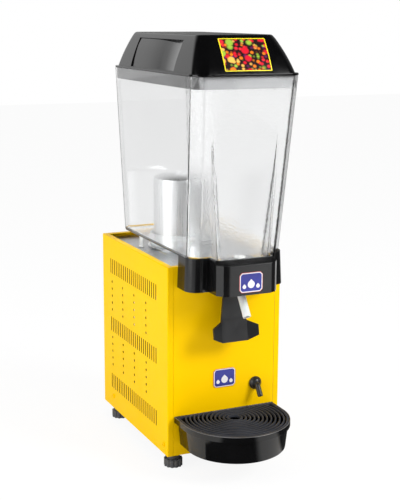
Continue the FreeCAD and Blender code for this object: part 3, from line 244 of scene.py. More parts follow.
def drum(name, centre, radius, length, axis="Z", sides=64):
    """Cylinder about its centre, along one axis."""
    quarter = math.pi / 2
    turn = {"X": (0, quarter, 0), "Y": (quarter, 0, 0), "Z": ORIGIN}[axis]
    clear_selection()
    bpy.ops.mesh.primitive_cylinder_add(
        vertices=sides, radius=radius, depth=length, location=centre, rotation=turn)
    return settled(name)


def join_up(pieces):
    """Put several pieces into one object, named as the first."""
    hold(pieces[0])
    for piece in pieces[1:]:
        piece.select_set(True)
    bpy.ops.object.join()
    return pieces[0]


def modify(piece, kind, **settings):
    """Apply one modifier."""
    hold(piece)
    step = piece.modifiers.new("step", kind)
    for name, value in settings.items():
        setattr(step, name, value)
    bpy.ops.object.modifier_apply(modifier=step.name)


def cut_with(piece, tool, operation="DIFFERENCE"):
    """Boolean of the piece with a tool, which is used up."""
    modify(piece, "BOOLEAN", operation=operation, solver="EXACT", object=tool)
    bpy.data.objects.remove(tool)


def round_edges(piece, width, segments=3, angle=35):
    """Round all edges sharper than an angle."""
    modify(piece, "BEVEL", width=width, segments=segments, limit_method="ANGLE", angle_limit=math.radians(angle))


def copy_of(piece, name, shift=ORIGIN):
    """Copy with its own mesh, moved from the first one's place."""
    other = bpy.data.objects.new(name, piece.data.copy())
    other.data.transform(Matrix.Translation(shift))
    bpy.context.scene.collection.objects.link(other)
    return other


def new_finish(name):
    """New node material with its node tree and its shader."""
    material = bpy.data.materials.new(name)
    material.use_nodes = True
    return material, material.node_tree, material.node_tree.nodes["Principled BSDF"]


def mottle(tree, scale, detail=2, stretch=(1, 1, 1)):
    """Noise over the piece, in cycles per metre, stretched by direction."""
    place = wire(tree, "Mapping", wire(tree, "TexCoord", out="Object"), Scale=stretch)
    return wire(tree, "TexNoise", place, Scale=scale, Detail=detail)


def tint(tree, factor, stops, shader):
    """Base colour by a ramp over a factor."""
    tree.links.new(ramp(tree, factor, stops), shader.inputs["Base Color"])


def gloss(tree, factor, low, high, shader):
    """Roughness between two numbers by a factor."""
    tree.links.new(wire(tree, "MapRange", factor, 0.3, 0.7, low, high), shader.inputs["Roughness"])


def relief(tree, factor, strength, height, shader):
    """Fine surface relief from a factor, its height in metres."""
    bump = wire(tree, "Bump", Height=factor, Strength=strength, Distance=height)
    tree.links.new(bump, shader.inputs["Normal"])


def adjust(shader, **settings):
    """Set inputs of a shader by their names."""
    for name, value in settings.items():
        shader.inputs[name.replace("_", " ")].default_value = value


def grained(name, dark, light, rough, grain, depth=0.0001, **settings):
    """Finish with broad tone changes, uneven gloss and a fine grain."""
    material, tree, shader = new_finish(name)
    tint(tree, mottle(tree, 22, 3), [(0.35, dark), (0.65, light)], shader)
    gloss(tree, mottle(tree, 90, 3), *rough, shader)
    relief(tree, mottle(tree, grain), 0.25, depth, shader)
    adjust(shader, **settings)
    return material


def coat(piece, *finishes):
    """Give a piece these finishes in place of its old ones."""
    piece.data.materials.clear()
    for finish in finishes:
        piece.data.materials.append(finish)


def finish_piece(piece, material, body, slot, *nodes, angle=32):
    """Smooth shading, finish, body and the solids that the piece stands for. The slot argument is not used."""
    hold(piece)
    bpy.ops.object.shade_smooth_by_angle(angle=math.radians(angle))
    modify(piece, "WEIGHTED_NORMAL", keep_sharp=True)
    if material is not None:
        coat(piece, material)
    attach(piece, body)
    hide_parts(*nodes)


foot_plastic = grained("foot_black_plastic", (0.065, 0.065, 0.068), (0.1, 0.099, 0.103), (0.3, 0.42), 1500)
foot_radius = 0.015
foot_height = 0.0125
foot_flutes = 12
flute_radius, flute_reach = 0.003, 0.0164
foot_corners = {
    "foot_front_left": (-0.082, -0.0731), "foot_front_right": (0.082, -0.0731),
    "foot_rear_left": (-0.082, 0.1689), "foot_rear_right": (0.082, 0.1689)}

first_foot = drum("fluted_foot", (0, 0, foot_height / 2), foot_radius, foot_height, sides=72)
flute_cutters = []
for flute in range(foot_flutes):
    turn = 2 * math.pi * (flute + 0.5) / foot_flutes
    place = (flute_reach * math.cos(turn), flute_reach * math.sin(turn), foot_height / 2)
    flute_cutters.append(drum("flute_cutter", place, flute_radius, 0.02, sides=20))
cut_with(first_foot, join_up(flute_cutters))
round_edges(first_foot, 0.0011)
foot_rings = [drum(name, (0, 0, z), radius, length, sides=sides) for name, z, radius, length, sides in (
    ("foot_collar", 0.015, 0.0098, 0.006, 48), ("foot_neck", 0.0185, 0.0064, 0.007, 40),
    ("foot_stud", 0.031, 0.004, 0.018, 32))]
for ring in foot_rings:
    round_edges(ring, 0.0005, 2)
join_up([first_foot] + foot_rings)
for node, (x, y) in foot_corners.items():
    foot = copy_of(first_foot, node + "_knob", (x, y, 0))
    finish_piece(foot, foot_plastic, node + "_body", "foot_black", node)
bpy.data.objects.remove(first_foot)


# Base pan, fan shroud, fan bracket and tray hooks. Folded from zinc-plated steel
# sheet and spot welded; the zinc shows its grey spangle.

def dress(material, *nodes):
    """Give solids of the frame that stay in view their finish."""
    for node in nodes:
        coat(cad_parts[node], material)


def spangled_zinc():
    """Zinc plate with the patchwork of crystals that hot dipping leaves."""
    material, tree, shader = new_finish("spangled_zinc")
    crystals = wire(tree, "TexVoronoi", wire(tree, "TexCoord", out="Object"), Scale=160, out="Color")
    split = wire(tree, "SeparateColor", crystals).node.outputs
    tint(tree, split["Red"], [(0, (0.42, 0.43, 0.44)), (1, (0.6, 0.61, 0.62))], shader)
    gloss(tree, split["Green"], 0.34, 0.52, shader)
    relief(tree, mottle(tree, 900), 0.15, 0.0002, shader)
    adjust(shader, Metallic=1)
    return material


dress(spangled_zinc(), "base_pan", "fan_shroud", "fan_bracket", "tray_hooks")


# Refrigeration set. Black enamelled compressor can on rubber grommets with its start
# relay, finned condenser, fan with pressed blades, copper lines and a filter drier.

dress(grained("compressor_enamel", (0.01, 0.01, 0.011), (0.02, 0.02, 0.022), (0.28, 0.42), 700, 0.0002),
      "compressor")
dress(grained("grommet_rubber", 0.012, 0.026, (0.75, 0.9), 1800), "compressor_grommets")
dress(grained("relay_plastic", 0.018, 0.03, (0.45, 0.6), 1600), "start_relay")
dress(grained("drawn_copper", (0.52, 0.22, 0.12), (0.68, 0.33, 0.19), (0.22, 0.4), 600, Metallic=1),
      "refrigerant_lines", "filter_drier")
dress(grained("pressed_aluminium", (0.6, 0.61, 0.62), (0.7, 0.71, 0.72), (0.3, 0.45), 900, Metallic=1),
      "fan_blade")
dress(grained("motor_steel_can", (0.3, 0.31, 0.32), (0.42, 0.43, 0.44), (0.35, 0.5), 900, Metallic=1),
      "fan_motor", "stirrer_motor", "drive_magnet")
dress(grained("cut_foam", (0.7, 0.64, 0.38), (0.8, 0.75, 0.5), (0.85, 0.95), 500, 0.0012), "foam_block")


def condenser_finish():
    """Rolled aluminium fins in close vertical stripes; the dark stripes between the bright fin edges are painted shade
    of the gaps between fins.
    """
    material, tree, shader = new_finish("condenser_fin_stock")
    stripes = wire(tree, "TexWave", wire(tree, "TexCoord", out="Object"), Scale=150, bands_direction="X", out="Fac")
    tint(tree, stripes, [(0.2, (0.14, 0.14, 0.145)), (0.8, (0.55, 0.56, 0.57))], shader)
    gloss(tree, mottle(tree, 120), 0.3, 0.45, shader)
    relief(tree, stripes, 0.4, 0.0008, shader)
    adjust(shader, Metallic=1)
    return material


dress(condenser_finish(), "condenser")


# Cabinet shells and end panels. Folded sheet steel in glossy yellow powder coat; each
# side shell is punched with bands of slots and groups of small round holes.

def edit_all(piece):
    """Edit mode on the piece with all of it selected."""
    hold(piece)
    bpy.ops.object.mode_set(mode="EDIT")
    bpy.ops.mesh.select_all(action="SELECT")


def cleaned(piece, gap, degrees):
    """Merge doubled corners and dissolve the edges inside flats."""
    edit_all(piece)
    bpy.ops.mesh.remove_doubles(threshold=gap)
    bpy.ops.mesh.dissolve_limited(angle_limit=math.radians(degrees))
    leave_edit()


def pick(piece, kind, test):
    """Edit mode on the piece with just the parts that pass the test selected."""
    hold(piece)
    bpy.ops.object.mode_set(mode="EDIT")
    bpy.ops.mesh.select_mode(type=kind)
    bpy.ops.mesh.select_all(action="DESELECT")
    mesh = bmesh.from_edit_mesh(piece.data)
    for part in {"VERT": mesh.verts, "EDGE": mesh.edges, "FACE": mesh.faces}[kind]:
        if test(part):
            part.select_set(True)
    mesh.select_flush_mode()
    bmesh.update_edit_mesh(piece.data)


def facing(axis, side=1):
    """Test for faces that look along an axis."""
    return lambda face: face.normal[axis] * side > 0.9


def mid(face):
    """Middle of a face."""
    return face.calc_center_median()


def assign(piece, slot):
    """Give the selected faces one of the piece's finishes."""
    piece.active_material_index = slot
    bpy.ops.object.material_slot_assign()


def paint(piece, slot, test):
    """Give the faces that pass the test one of the piece's finishes."""
    pick(piece, "FACE", test)
    assign(piece, slot)
    leave_edit()


def powder_coat():
    """Gloss yellow powder coat with a faint orange-peel skin."""
    material, tree, shader = new_finish("yellow_powder_coat")
    tint(tree, mottle(tree, 7), [(0.35, (0.93, 0.555, 0)), (0.65, (0.95, 0.575, 0))], shader)
    gloss(tree, mottle(tree, 60), 0.3, 0.38, shader)
    relief(tree, mottle(tree, 650, 1), 0.1, 0.0003, shader)
    adjust(shader, Specular_IOR_Level=0.04)
    return material


yellow = powder_coat()
# The walls of the punched holes and slots get a dark copy of the yellow: painted shade inside the holes.
hole_wall_shade = grained("hole_wall_painted_shade", (0.05, 0.028, 0.004), (0.085, 0.048, 0.006), (0.6, 0.8), 900)
# The inner faces of the side shells are painted grey in place of their yellow: painted shade.
inner_face_shade = grained("shell_inner_painted_shade", 0.2, 0.26, (0.55, 0.7), 700)
hole_columns_y = (0.0004, 0.0539, 0.1069, 0.1589)
hole_groups_z = (0.128, 0.229)
hole_pitch = 0.0126
hole_radius = 0.0023
for side, node in ((-1, "side_shell_left"), (1, "side_shell_right")):
    shell = copy_of(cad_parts[node], node + "_punched")
    coat(shell)
    cleaned(shell, 0.000005, 0.5)
    punches = []
    for y in hole_columns_y:
        for middle_z in hole_groups_z:
            for row in range(-2, 3):
                place = (side * 0.0984, y, middle_z + row * hole_pitch)
                punches.append(drum("punch", place, hole_radius, 0.006, "X", 16))
    cut_with(shell, join_up(punches))
    coat(shell, yellow, hole_wall_shade, inner_face_shade)
    # Painted shade on the walls of the holes and slots.
    paint(shell, 1, lambda face: abs(face.normal.x) < 0.5 and abs(mid(face).x) > 0.0975
          and -0.066 < mid(face).y < 0.195 and 0.03 < mid(face).z < 0.325)
    # Painted shade: the inward faces of the shell take the grey.
    paint(shell, 2, facing(X, -side))
    finish_piece(shell, None, "cabinet", "cabinet_yellow", node)
dress(yellow, "front_panel", "rear_panel")


# Shell screws. Low domed heads with a cross recess, painted over with the cabinet;
# they hold each side shell to the lip of the base pan.

def block(name, low, high):
    """Box between two corners."""
    clear_selection()
    bpy.ops.mesh.primitive_cube_add(size=1, location=[(a + b) / 2 for a, b in zip(low, high)],
                                    scale=[b - a for a, b in zip(low, high)])
    return settled(name)


def bevel_where(piece, kind, test, width, steps, **settings):
    """Bevel the edges that pass the test, or those of the faces that do."""
    pick(piece, kind, test)
    bpy.ops.mesh.bevel(offset=width, segments=steps, affect="EDGES", **settings)
    leave_edit()


screw_places = ((-0.0741, 0.038), (0.1579, 0.044))
screw_head_radius = 0.0042
screw_head_height = 0.002
screws = []
for side in (-1, 1):
    for y, z in screw_places:
        head = drum("screw_head", (side * (0.099 + screw_head_height / 2 - 0.0002), y, z), screw_head_radius,
                    screw_head_height, "X", 40)
        bevel_where(head, "FACE", facing(X, side), 0.0014, 4, profile=0.6)
        for half_y, half_z in ((0.0021, 0.0004), (0.0004, 0.0021)):
            cut_with(head, block("recess", (side * 0.1005 - 0.0008, y - half_y, z - half_z),
                                 (side * 0.1005 + 0.0008, y + half_y, z + half_z)))
        screws += [head, drum("screw_shank", (side * 0.0955, y, z), 0.002, 0.007, "X", 24)]
shell_screws = join_up(screws)
shell_screws.name = "painted_screws"
finish_piece(shell_screws, yellow, "cabinet", "cabinet_yellow", "shell_screws")


# Top deck and cooling cup. The deck is brushed stainless sheet let into the cabinet's
# top; the deep-drawn cup on it is the evaporator and stands up through the bowl's floor.

def face_out():
    """Turn all faces of the piece in edit mode outwards and leave it."""
    bpy.ops.mesh.select_all(action="SELECT")
    bpy.ops.mesh.normals_make_consistent(inside=False)
    leave_edit()


def extrude(move):
    """Extrude what is selected."""
    bpy.ops.mesh.extrude_region_move(TRANSFORM_OT_translate={"value": move})


def shift(move):
    """Move what is selected."""
    bpy.ops.transform.translate(value=move)


def resize(scale, about):
    """Scale what is selected about a point."""
    bpy.ops.transform.resize(value=scale, center_override=about)


def turned(name, centre, profile, sides=96, axis="Z", hollow=False):
    """Lathe work: rings of (radius, place along the axis), in mm, drawn one after another from a circle."""
    upright = axis == "Z"
    turn = ORIGIN if upright else (math.pi / 2, 0, 0)
    step = Vector((0, 0, 1) if upright else (0, 1, 0))
    profile = [(radius / 1000, level / 1000) for radius, level in profile]
    radius, level = profile[0]
    clear_selection()
    bpy.ops.mesh.primitive_circle_add(vertices=sides, radius=radius, location=Vector(centre) + step * level,
                                      rotation=turn, fill_type="NOTHING" if hollow else "NGON")
    piece = settled(name)
    bpy.ops.object.mode_set(mode="EDIT")
    bpy.ops.mesh.select_mode(type="VERT")
    bpy.ops.mesh.select_all(action="SELECT")
    for (before, low), (after, high) in zip(profile, profile[1:]):
        extrude(step * (high - low))
        grow = after / before
        resize((grow, grow, 1) if upright else (grow, 1, grow), Vector(centre) + step * high)
    if hollow:
        bpy.ops.mesh.select_all(action="SELECT")
        bpy.ops.mesh.remove_doubles(threshold=0.000001)
    face_out()
    return piece


def brushed_steel(name, dark, light, stretch):
    """Satin stainless with its grinding lines along one direction."""
    material, tree, shader = new_finish(name)
    lines = mottle(tree, 260, 4, stretch)
    tint(tree, lines, [(0.3, dark), (0.7, light)], shader)
    gloss(tree, mottle(tree, 420, 3, stretch), 0.24, 0.4, shader)
    relief(tree, lines, 0.12, 0.0002, shader)
    adjust(shader, Metallic=1)
    return material


dress(brushed_steel("brushed_deck_steel", (0.36, 0.37, 0.39), (0.5, 0.51, 0.53), (6, 0.12, 1)), "top_deck")

cup_centre = (0, 0.0869, 0)
cup = turned("cooling_cup", cup_centre, [
    (43.8, 300), (44, 300.2), (44, 440.5), (43.7, 442.2), (42.7, 443.8), (41.2, 444.9), (39, 445.9), (34, 448),
    (27, 449.9), (18, 451.2), (9, 451.8), (2, 452)])
cup_flange = turned("cooling_cup_flange", cup_centre, [(55.6, 325), (56, 325.4), (56, 327.6), (55.6, 328)])
join_up([cup, cup_flange])
finish_piece(cup, brushed_steel("brushed_cup_steel", (0.74, 0.745, 0.75), (0.84, 0.845, 0.85), (1, 1, 0.02)),
             "cabinet", "stainless", "evaporator")


# Bowl seal and posts. A soft white silicone ring seals the bowl to the cup, and two
# white plastic posts on the deck carry the bowl's rear.

silicone = grained("white_silicone", (0.66, 0.67, 0.66), (0.74, 0.75, 0.74), (0.45, 0.6), 800,
                   Subsurface_Weight=0.15, Subsurface_Scale=0.004)
seal = turned("bowl_seal", cup_centre, [
    (44.4, 328.4), (51.2, 328.4), (52, 329.6), (52, 332), (50.6, 334), (50.6, 336.5), (52, 338.5), (52, 341),
    (50.6, 343), (50.6, 345), (49.8, 347), (44.4, 347), (44.4, 328.4)], hollow=True)
finish_piece(seal, silicone, "cabinet", "white_silicone", "bowl_gasket")

white_plastic = grained("white_moulded_plastic", (0.72, 0.72, 0.7), (0.78, 0.78, 0.76), (0.28, 0.4),
                        1400, 0.00006)
post_profile = [(4.6, 325), (5, 325.4), (5, 326.4), (4.5, 327.2), (3.4, 328), (3.2, 330), (3.2, 345.8), (2.9, 346.6),
                (2.4, 347)]
bowl_posts = join_up([turned("bowl_post", (x, 0.1019, 0), post_profile, 40) for x in (-0.066, 0.066)])
bowl_posts.name = "bowl_rest_posts"
finish_piece(bowl_posts, white_plastic, "cabinet", "white_plastic", "bowl_posts")


# Rear fittings. Thermostat with its knob, power switch with its rocker and the cord's
# gland, all pushed or screwed through the rear panel.

def length_along(edge, axis):
    """How far an edge runs along an axis."""
    return abs(edge.verts[0].co[axis] - edge.verts[1].co[axis])


def spin(angle, axis, about=ORIGIN):
    """Turn what is selected about a line through a point."""
    bpy.ops.transform.rotate(value=angle, orient_axis=axis, center_override=about)


def swing(piece, angle, axis, move=ORIGIN, about=ORIGIN):
    """Turn a piece about a line through a point, and move it."""
    hold(piece)
    spin(angle, axis, about)
    shift(move)
    apply_place(piece)


fitting_black = grained("fitting_black_plastic", 0.016, 0.028, (0.38, 0.55), 1500)
plain_steel = grained("thermostat_can_steel", (0.48, 0.49, 0.5), (0.6, 0.61, 0.62), (0.3, 0.45), 900,
                      Metallic=1)
dress(plain_steel, "thermostat_body", "lever_pin")

knob_x, knob_z = 0.045, 0.27
knob = turned("thermostat_dial", (knob_x, 0, knob_z), [
    (12.2, 206.2), (13, 206.8), (13, 209.2), (12.4, 210), (10.8, 210.2)], 96, "Y")
knurls = []
for notch in range(24):
    turn = 2 * math.pi * notch / 24
    place = (knob_x + 0.0134 * math.cos(turn), 0.2082, knob_z + 0.0134 * math.sin(turn))
    knurls.append(drum("knurl", place, 0.0008, 0.006, "Y", 10))
cut_with(knob, join_up(knurls))
knob_grip = block("knob_grip", (0.0405, 0.2098, 0.258), (0.0495, 0.2179, 0.282))
pick(knob_grip, "FACE", facing(Y))
resize((0.62, 1, 0.94), (knob_x, 0.2179, knob_z))
round_edges(knob_grip, 0.0009)
cut_with(knob_grip, block("pointer_groove", (0.0446, 0.2172, 0.272), (0.0454, 0.2185, 0.2804)))
join_up([knob, knob_grip])
finish_piece(knob, fitting_black, "knob", "fitting_black", "thermostat_knob")

switch = block("switch_bezel", (-0.0545, 0.2059, 0.2575), (-0.0355, 0.2079, 0.2825))
bevel_where(switch, "EDGE", lambda edge: length_along(edge, Y) > 0.001, 0.0018, 4)
cut_with(switch, block("switch_box", (-0.0525, 0.1819, 0.2595), (-0.0375, 0.2069, 0.2805)), "UNION")
cut_with(switch, block("switch_well", (-0.051, 0.1979, 0.261), (-0.039, 0.2099, 0.279)))
round_edges(switch, 0.0004, 2)
finish_piece(switch, fitting_black, "cabinet", "fitting_black", "switch_body")
dress(fitting_black, "switch_rocker")

gland_centre = (0.06, 0, 0.06)
gland_body = turned("cord_gland_nut", gland_centre, [
    (8.8, 192.7), (9, 193), (9, 205.8), (11.8, 205.9), (12, 206.2), (12, 210.8), (11.2, 211.6), (9.2, 212),
    (8.4, 214.4), (7, 215.7), (4.6, 215.9), (4, 215), (4, 192.7), (8.8, 192.7)], 48, "Y", hollow=True)
gland_flats = []
for flat in range(6):
    cutter = block("gland_flat", (-0.01, 0.2064, 0.0106), (0.01, 0.2116, 0.02))
    swing(cutter, math.pi * flat / 3, "Y", gland_centre)
    gland_flats.append(cutter)
for cutter in gland_flats:
    cut_with(gland_body, cutter)
round_edges(gland_body, 0.0003, 2, 50)
finish_piece(gland_body, fitting_black, "cabinet", "fitting_black", "cord_gland")


# Tap housing. Black ABS moulding that wraps the foot of the bowl: a skirt with rounded
# corners, a pair of thin ribs on each side and a bevelled nose over the lever.

def shave(piece, point, normal):
    """Cut away what lies beyond a plane and close the cut."""
    edit_all(piece)
    bpy.ops.mesh.bisect(plane_co=point, plane_no=normal, use_fill=True, clear_outer=True)
    leave_edit()


def slice_at(piece, axis, places):
    """Cut edges into the whole surface along planes across one axis, and stay in edit mode."""
    for place in places:
        edit_all(piece)
        bpy.ops.mesh.bisect(plane_co=[place if axis == each else 0 for each in (X, Y, Z)],
                            plane_no=[float(axis == each) for each in (X, Y, Z)])


def shave_three(piece, a, b, c):
    """Shave along the plane through three points, outwards, and the same on the right side."""
    a, b, c = Vector(a), Vector(b), Vector(c)
    normal = (b - a).cross(c - a).normalized()
    if normal.dot(a - Vector((0, -0.14, 0.32))) < 0:
        normal = -normal
    shave(piece, a, normal)
    shave(piece, Vector((-a.x, a.y, a.z)), Vector((-normal.x, normal.y, normal.z)))


def nudge(piece, low, high, move):
    """Move the corners that lie inside a box."""
    pick(piece, "VERT", lambda vert: all(a - 0.00005 <= c <= b + 0.00005 for a, c, b in zip(low, vert.co, high)))
    shift(move)
    leave_edit()


def tub(name, low, high, corners, front_only=False, steps=10):
    """Tapered box between two levels of (half width, front, rear, z), its upright corners rounded."""
    half, front, rear, z = low
    top_half, top_front, top_rear, top_z = high
    middle = (front + rear) / 2
    piece = block(name, (-half, front, z), (half, rear, top_z))
    pick(piece, "FACE", facing(Z))
    resize((top_half / half, (top_rear - top_front) / (rear - front), 1), (0, middle, top_z))
    shift((0, (top_front + top_rear - front - rear) / 2, 0))
    bevel_where(piece, "EDGE", lambda edge: length_along(edge, Z) > 0.9 * (top_z - z)
                and (not front_only or edge.verts[0].co.y < middle), corners, steps)
    return piece


def straight_tub(name, half, front, rear, z, top_z, corners, **settings):
    """Tub without taper."""
    return tub(name, (half, front, rear, z), (half, front, rear, top_z), corners, **settings)


housing_low, housing_high = 0.2995, 0.352
panel_y = -0.0901
nose_half, nose_y, nose_back = 0.051, -0.1781, -0.1201
knee = 0.3465
housing = tub("tap_housing_moulding", (0.0829, -0.1371, panel_y, housing_low),
              (0.0809, -0.1351, panel_y, housing_high), 0.02, front_only=True)
nose = block("housing_nose", (-nose_half, nose_y, housing_low), (nose_half, nose_back, housing_high))
slice_at(nose, X, (-0.0435, -0.033, 0.033, 0.0435))
slice_at(nose, Z, (knee,))
for side in (-1, 1):
    for x, back, inward, top_back in ((0.033, 0, -0.007, 0.0174), (0.0435, 0.0046, -0.0023, 0.0199),
                                      (nose_half, 0.014, 0.0024, 0.0234)):
        x_low, x_high = sorted((side * (x - 0.0001), side * (x + 0.0001)))
        nudge(nose, (x_low, nose_y - 0.0001, 0.29), (x_high, nose_y + 0.0001, knee), (0, back, 0))
        nudge(nose, (x_low, nose_y - 0.0001, 0.351), (x_high, nose_y + 0.0001, 0.353),
              (-side * inward, top_back, 0))
    nudge(nose, (x_low, -0.121, 0.351), (x_high, -0.119, 0.353), (-side * 0.0024, 0, 0))
cut_with(housing, nose, "UNION")
for x in (-0.0615, -0.0545, 0.0545, 0.0615):
    rib = block("housing_rib", (x - 0.0007, -0.1383, housing_low), (x + 0.0007, -0.134, housing_high))
    cut_with(housing, rib, "UNION")

cut_with(housing, straight_tub("bowl_well", 0.0796, -0.1338, -0.085, housing_low - 0.001, housing_high + 0.001,
                               0.0187, front_only=True))
nose_room = block("nose_room", (-0.0485, -0.1756, housing_low - 0.001), (0.0485, nose_back, 0.3387))
room_bend = (-0.042, -0.1713)
for corner, next_corner in (((-0.0485, -0.1634), room_bend), (room_bend, (-0.0322, -0.1756))):
    shave_three(nose_room, (*corner, 0.3), (*next_corner, 0.3), (*corner, 0.34))
cut_with(housing, nose_room)
cut_with(housing, block("chute_mouth", (-0.045, -0.1571, housing_low + 0.001), (0.045, -0.1101, housing_high + 0.001)))
cleaned(housing, 0.00004, 1)
round_edges(housing, 0.0004, 2, 25)

housing_parts = [housing]
for side in (-1, 1):
    low_x, high_x = sorted((side * 0.021, side * 0.024))
    lug = block("pivot_lug", (low_x, -0.1769, 0.315), (high_x, -0.1126, 0.3455))
    bevel_where(lug, "EDGE", lambda edge: length_along(edge, X) > 0.002 and edge.verts[0].co.y > -0.12, 0.007, 6)
    cut_with(lug, drum("pin_hole", (side * 0.0225, -0.1211, 0.337), 0.0026, 0.01, "X", 32))
    tab_low, tab_high = sorted((side * 0.08, side * 0.0676))
    tab = block("hanging_tab", (tab_low, -0.0926, housing_low), (tab_high, panel_y, 0.332))
    for part in (lug, tab):
        round_edges(part, 0.0005, 2)
    housing_parts += [lug, tab]
anvil = block("pinch_anvil", (-0.0225, -0.148, 0.315), (0.0225, -0.141, 0.323))
bevel_where(anvil, "EDGE", lambda edge: length_along(edge, X) > 0.02 and edge.verts[0].co.y > -0.143, 0.002, 4)
join_up(housing_parts + [anvil])
tap_plastic = grained("tap_black_plastic", (0.0035, 0.0035, 0.0038), (0.006, 0.006, 0.0065), (0.15, 0.22),
                      1700, 0.00008)
tap_textured = grained("tap_textured_bevel", (0.0025, 0.0025, 0.0027), (0.004, 0.004, 0.0043), (0.5, 0.6),
                       1700, Specular_IOR_Level=0.1)
coat(housing, tap_plastic, tap_textured)
paint(housing, 1, lambda face: face.normal.z > 0.5 and mid(face).y < -0.158)
finish_piece(housing, None, "cabinet", "tap_black", "tap_housing")


# Push lever. Matt black moulding on a steel pin: a tapering stem, a pinch nose behind
# it that squeezes the tube, and a paddle whose wings sweep towards the cup.

pivot_y, pivot_z = -0.1211, 0.337
lever = block("push_lever", (-0.017, pivot_y, pivot_z - 0.037), (0.017, pivot_y + 0.004, pivot_z))
pick(lever, "FACE", facing(Z, -1))
for step_down, step_y, widen in ((0.048, 0, 20.5 / 17), (0.008, -0.002, 22 / 20.5), (0.0314, -0.006, 1)):
    extrude((0, step_y, -step_down))
    resize((widen, 1, 1), (0, pivot_y, pivot_z))
for side in (-1, 1):
    pick(lever, "FACE", lambda face: face.normal.x * side > 0.6 and 0.22 < mid(face).z < 0.235)
    extrude((side * 0.017, 0, 0))
    leave_edit()
    edge_low, edge_high = sorted((side * 0.0385, side * 0.0395))
    nudge(lever, (edge_low, -0.14, 0.243), (edge_high, -0.1, 0.245), (0, -0.008, -0.007))
    nudge(lever, (edge_low, -0.14, 0.212), (edge_high, -0.1, 0.2135), (0, -0.005, 0.0084))
edit_all(lever)
face_out()
cut_with(lever, drum("lever_hub", (0, pivot_y, pivot_z), 0.0065, 0.041, "X", 48), "UNION")
pinch_nose = block("pinch_nose", (-0.016, -0.1352, 0.311), (0.016, pivot_y + 0.002, 0.327))
pick(pinch_nose, "FACE", facing(Y, -1))
resize((1, 1, 0.25), (0, -0.1352, 0.319))
cut_with(lever, pinch_nose, "UNION")
cut_with(lever, drum("pin_bore", (0, pivot_y, pivot_z), 0.0026, 0.05, "X", 32))
round_edges(lever, 0.0009, 3, 20)
lever_plastic = grained("lever_matt_plastic", (0.01, 0.01, 0.011), (0.016, 0.016, 0.017), (0.34, 0.44),
                        2200, 0.0002)
finish_piece(lever, lever_plastic, "lever", "lever_black", "tap_lever")


# Leaf spring. Strip of spring steel with its foot flat on the cabinet's face; its free
# end leans on the back of the lever and is pressed back with it.

leaf_spring = block("leaf_spring", (-0.008, -0.0909, 0.3105), (0.008, panel_y, 0.335))
pick(leaf_spring, "FACE", facing(Z, -1))
leaf_y, leaf_z, leaf_lean = -0.0905, 0.3105, 0
for turn, reach in ((16, 0.0015), (16, 0.0015), (17, 0.0015), (16, 0.0015), (0, 0.0245)):
    leaf_lean += turn
    step_y = -reach * math.sin(math.radians(leaf_lean))
    step_z = -reach * math.cos(math.radians(leaf_lean))
    extrude((0, step_y, step_z))
    leaf_y, leaf_z = leaf_y + step_y, leaf_z + step_z
    spin(math.radians(turn), "X", (0, leaf_y, leaf_z))
leave_edit()
round_edges(leaf_spring, 0.0002, 2, 50)
finish_piece(leaf_spring, plain_steel, "cabinet", "thermostat_steel", "lever_spring")
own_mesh(leaf_spring)


# Outlet tube. Soft white silicone hose slipped over the bowl's outlet; the lever
# squeezes it flat against the anvil, and its end bends forward over the cup.

def drawn_hose(name, x, stations, wall):
    """Hose drawn from a circle through stations of (y, z, wide, deep, lean in degrees)."""
    y, z, wide, deep, lean = stations[0]
    clear_selection()
    bpy.ops.mesh.primitive_circle_add(vertices=40, radius=wide, location=(x, y, z),
                                      rotation=(math.radians(lean), 0, 0))
    piece = settled(name)
    bpy.ops.object.mode_set(mode="EDIT")
    bpy.ops.mesh.select_mode(type="VERT")
    bpy.ops.mesh.select_all(action="SELECT")
    for before, after in zip(stations, stations[1:]):
        place = (x, after[0], after[1])
        extrude((0, after[0] - before[0], after[1] - before[1]))
        resize((after[2] / before[2], after[3] / before[3], 1), place)
        if after[4] != before[4]:
            spin(-math.radians(after[4] - before[4]), "X", place)
    face_out()
    modify(piece, "SOLIDIFY", thickness=wall, offset=-1)
    return piece


outlet_y = -0.1381
hose_radius = 0.0062
hose_lean, hose_bend = 34.6, 0.012
round_hose = (hose_radius, hose_radius)
hose_stations = [(outlet_y, z, wide, deep, 0) for z, wide, deep in (
    (0.345, *round_hose), (0.332, *round_hose), (0.329, 0.0068, 0.005), (0.3255, 0.0079, 0.0033),
    (0.322, 0.0084, 0.0026), (0.316, 0.0084, 0.0026), (0.3125, 0.0079, 0.0033), (0.31, 0.0068, 0.005),
    (0.308, *round_hose))]
for bend in range(1, 7):
    lean = hose_lean * bend / 6
    arc = math.radians(lean)
    hose_stations.append((outlet_y - hose_bend * (1 - math.cos(arc)), 0.308 - hose_bend * math.sin(arc),
                          *round_hose, -lean))
end_y, end_z = hose_stations[-1][:2]
for end_step in (0.5, 1):
    drop = (end_z - 0.2622) * end_step
    hose_stations.append((end_y - drop * math.tan(math.radians(hose_lean)), end_z - drop, *round_hose, -hose_lean))
hose = drawn_hose("outlet_hose", 0, hose_stations, 0.0017)
round_edges(hose, 0.0003, 2, 50)
finish_piece(hose, silicone, "cabinet", "white_silicone", "pinch_tube")


# Badges. Two small plates with clipped corners, stuck on the housing and on the front
# panel: a warm edge, a pale rim and a blue field with three raised drops.

badge_blue = grained("badge_blue_enamel", (0.018, 0.022, 0.2), (0.03, 0.036, 0.29), (0.18, 0.26), 900, 0.00005)
badge_rim = grained("badge_pale_rim", (0.72, 0.7, 0.72), (0.8, 0.78, 0.8), (0.2, 0.3), 900, 0.00005)
badge_edge = grained("badge_warm_edge", (0.42, 0.05, 0.06), (0.55, 0.08, 0.09), (0.25, 0.35), 900, 0.00005)


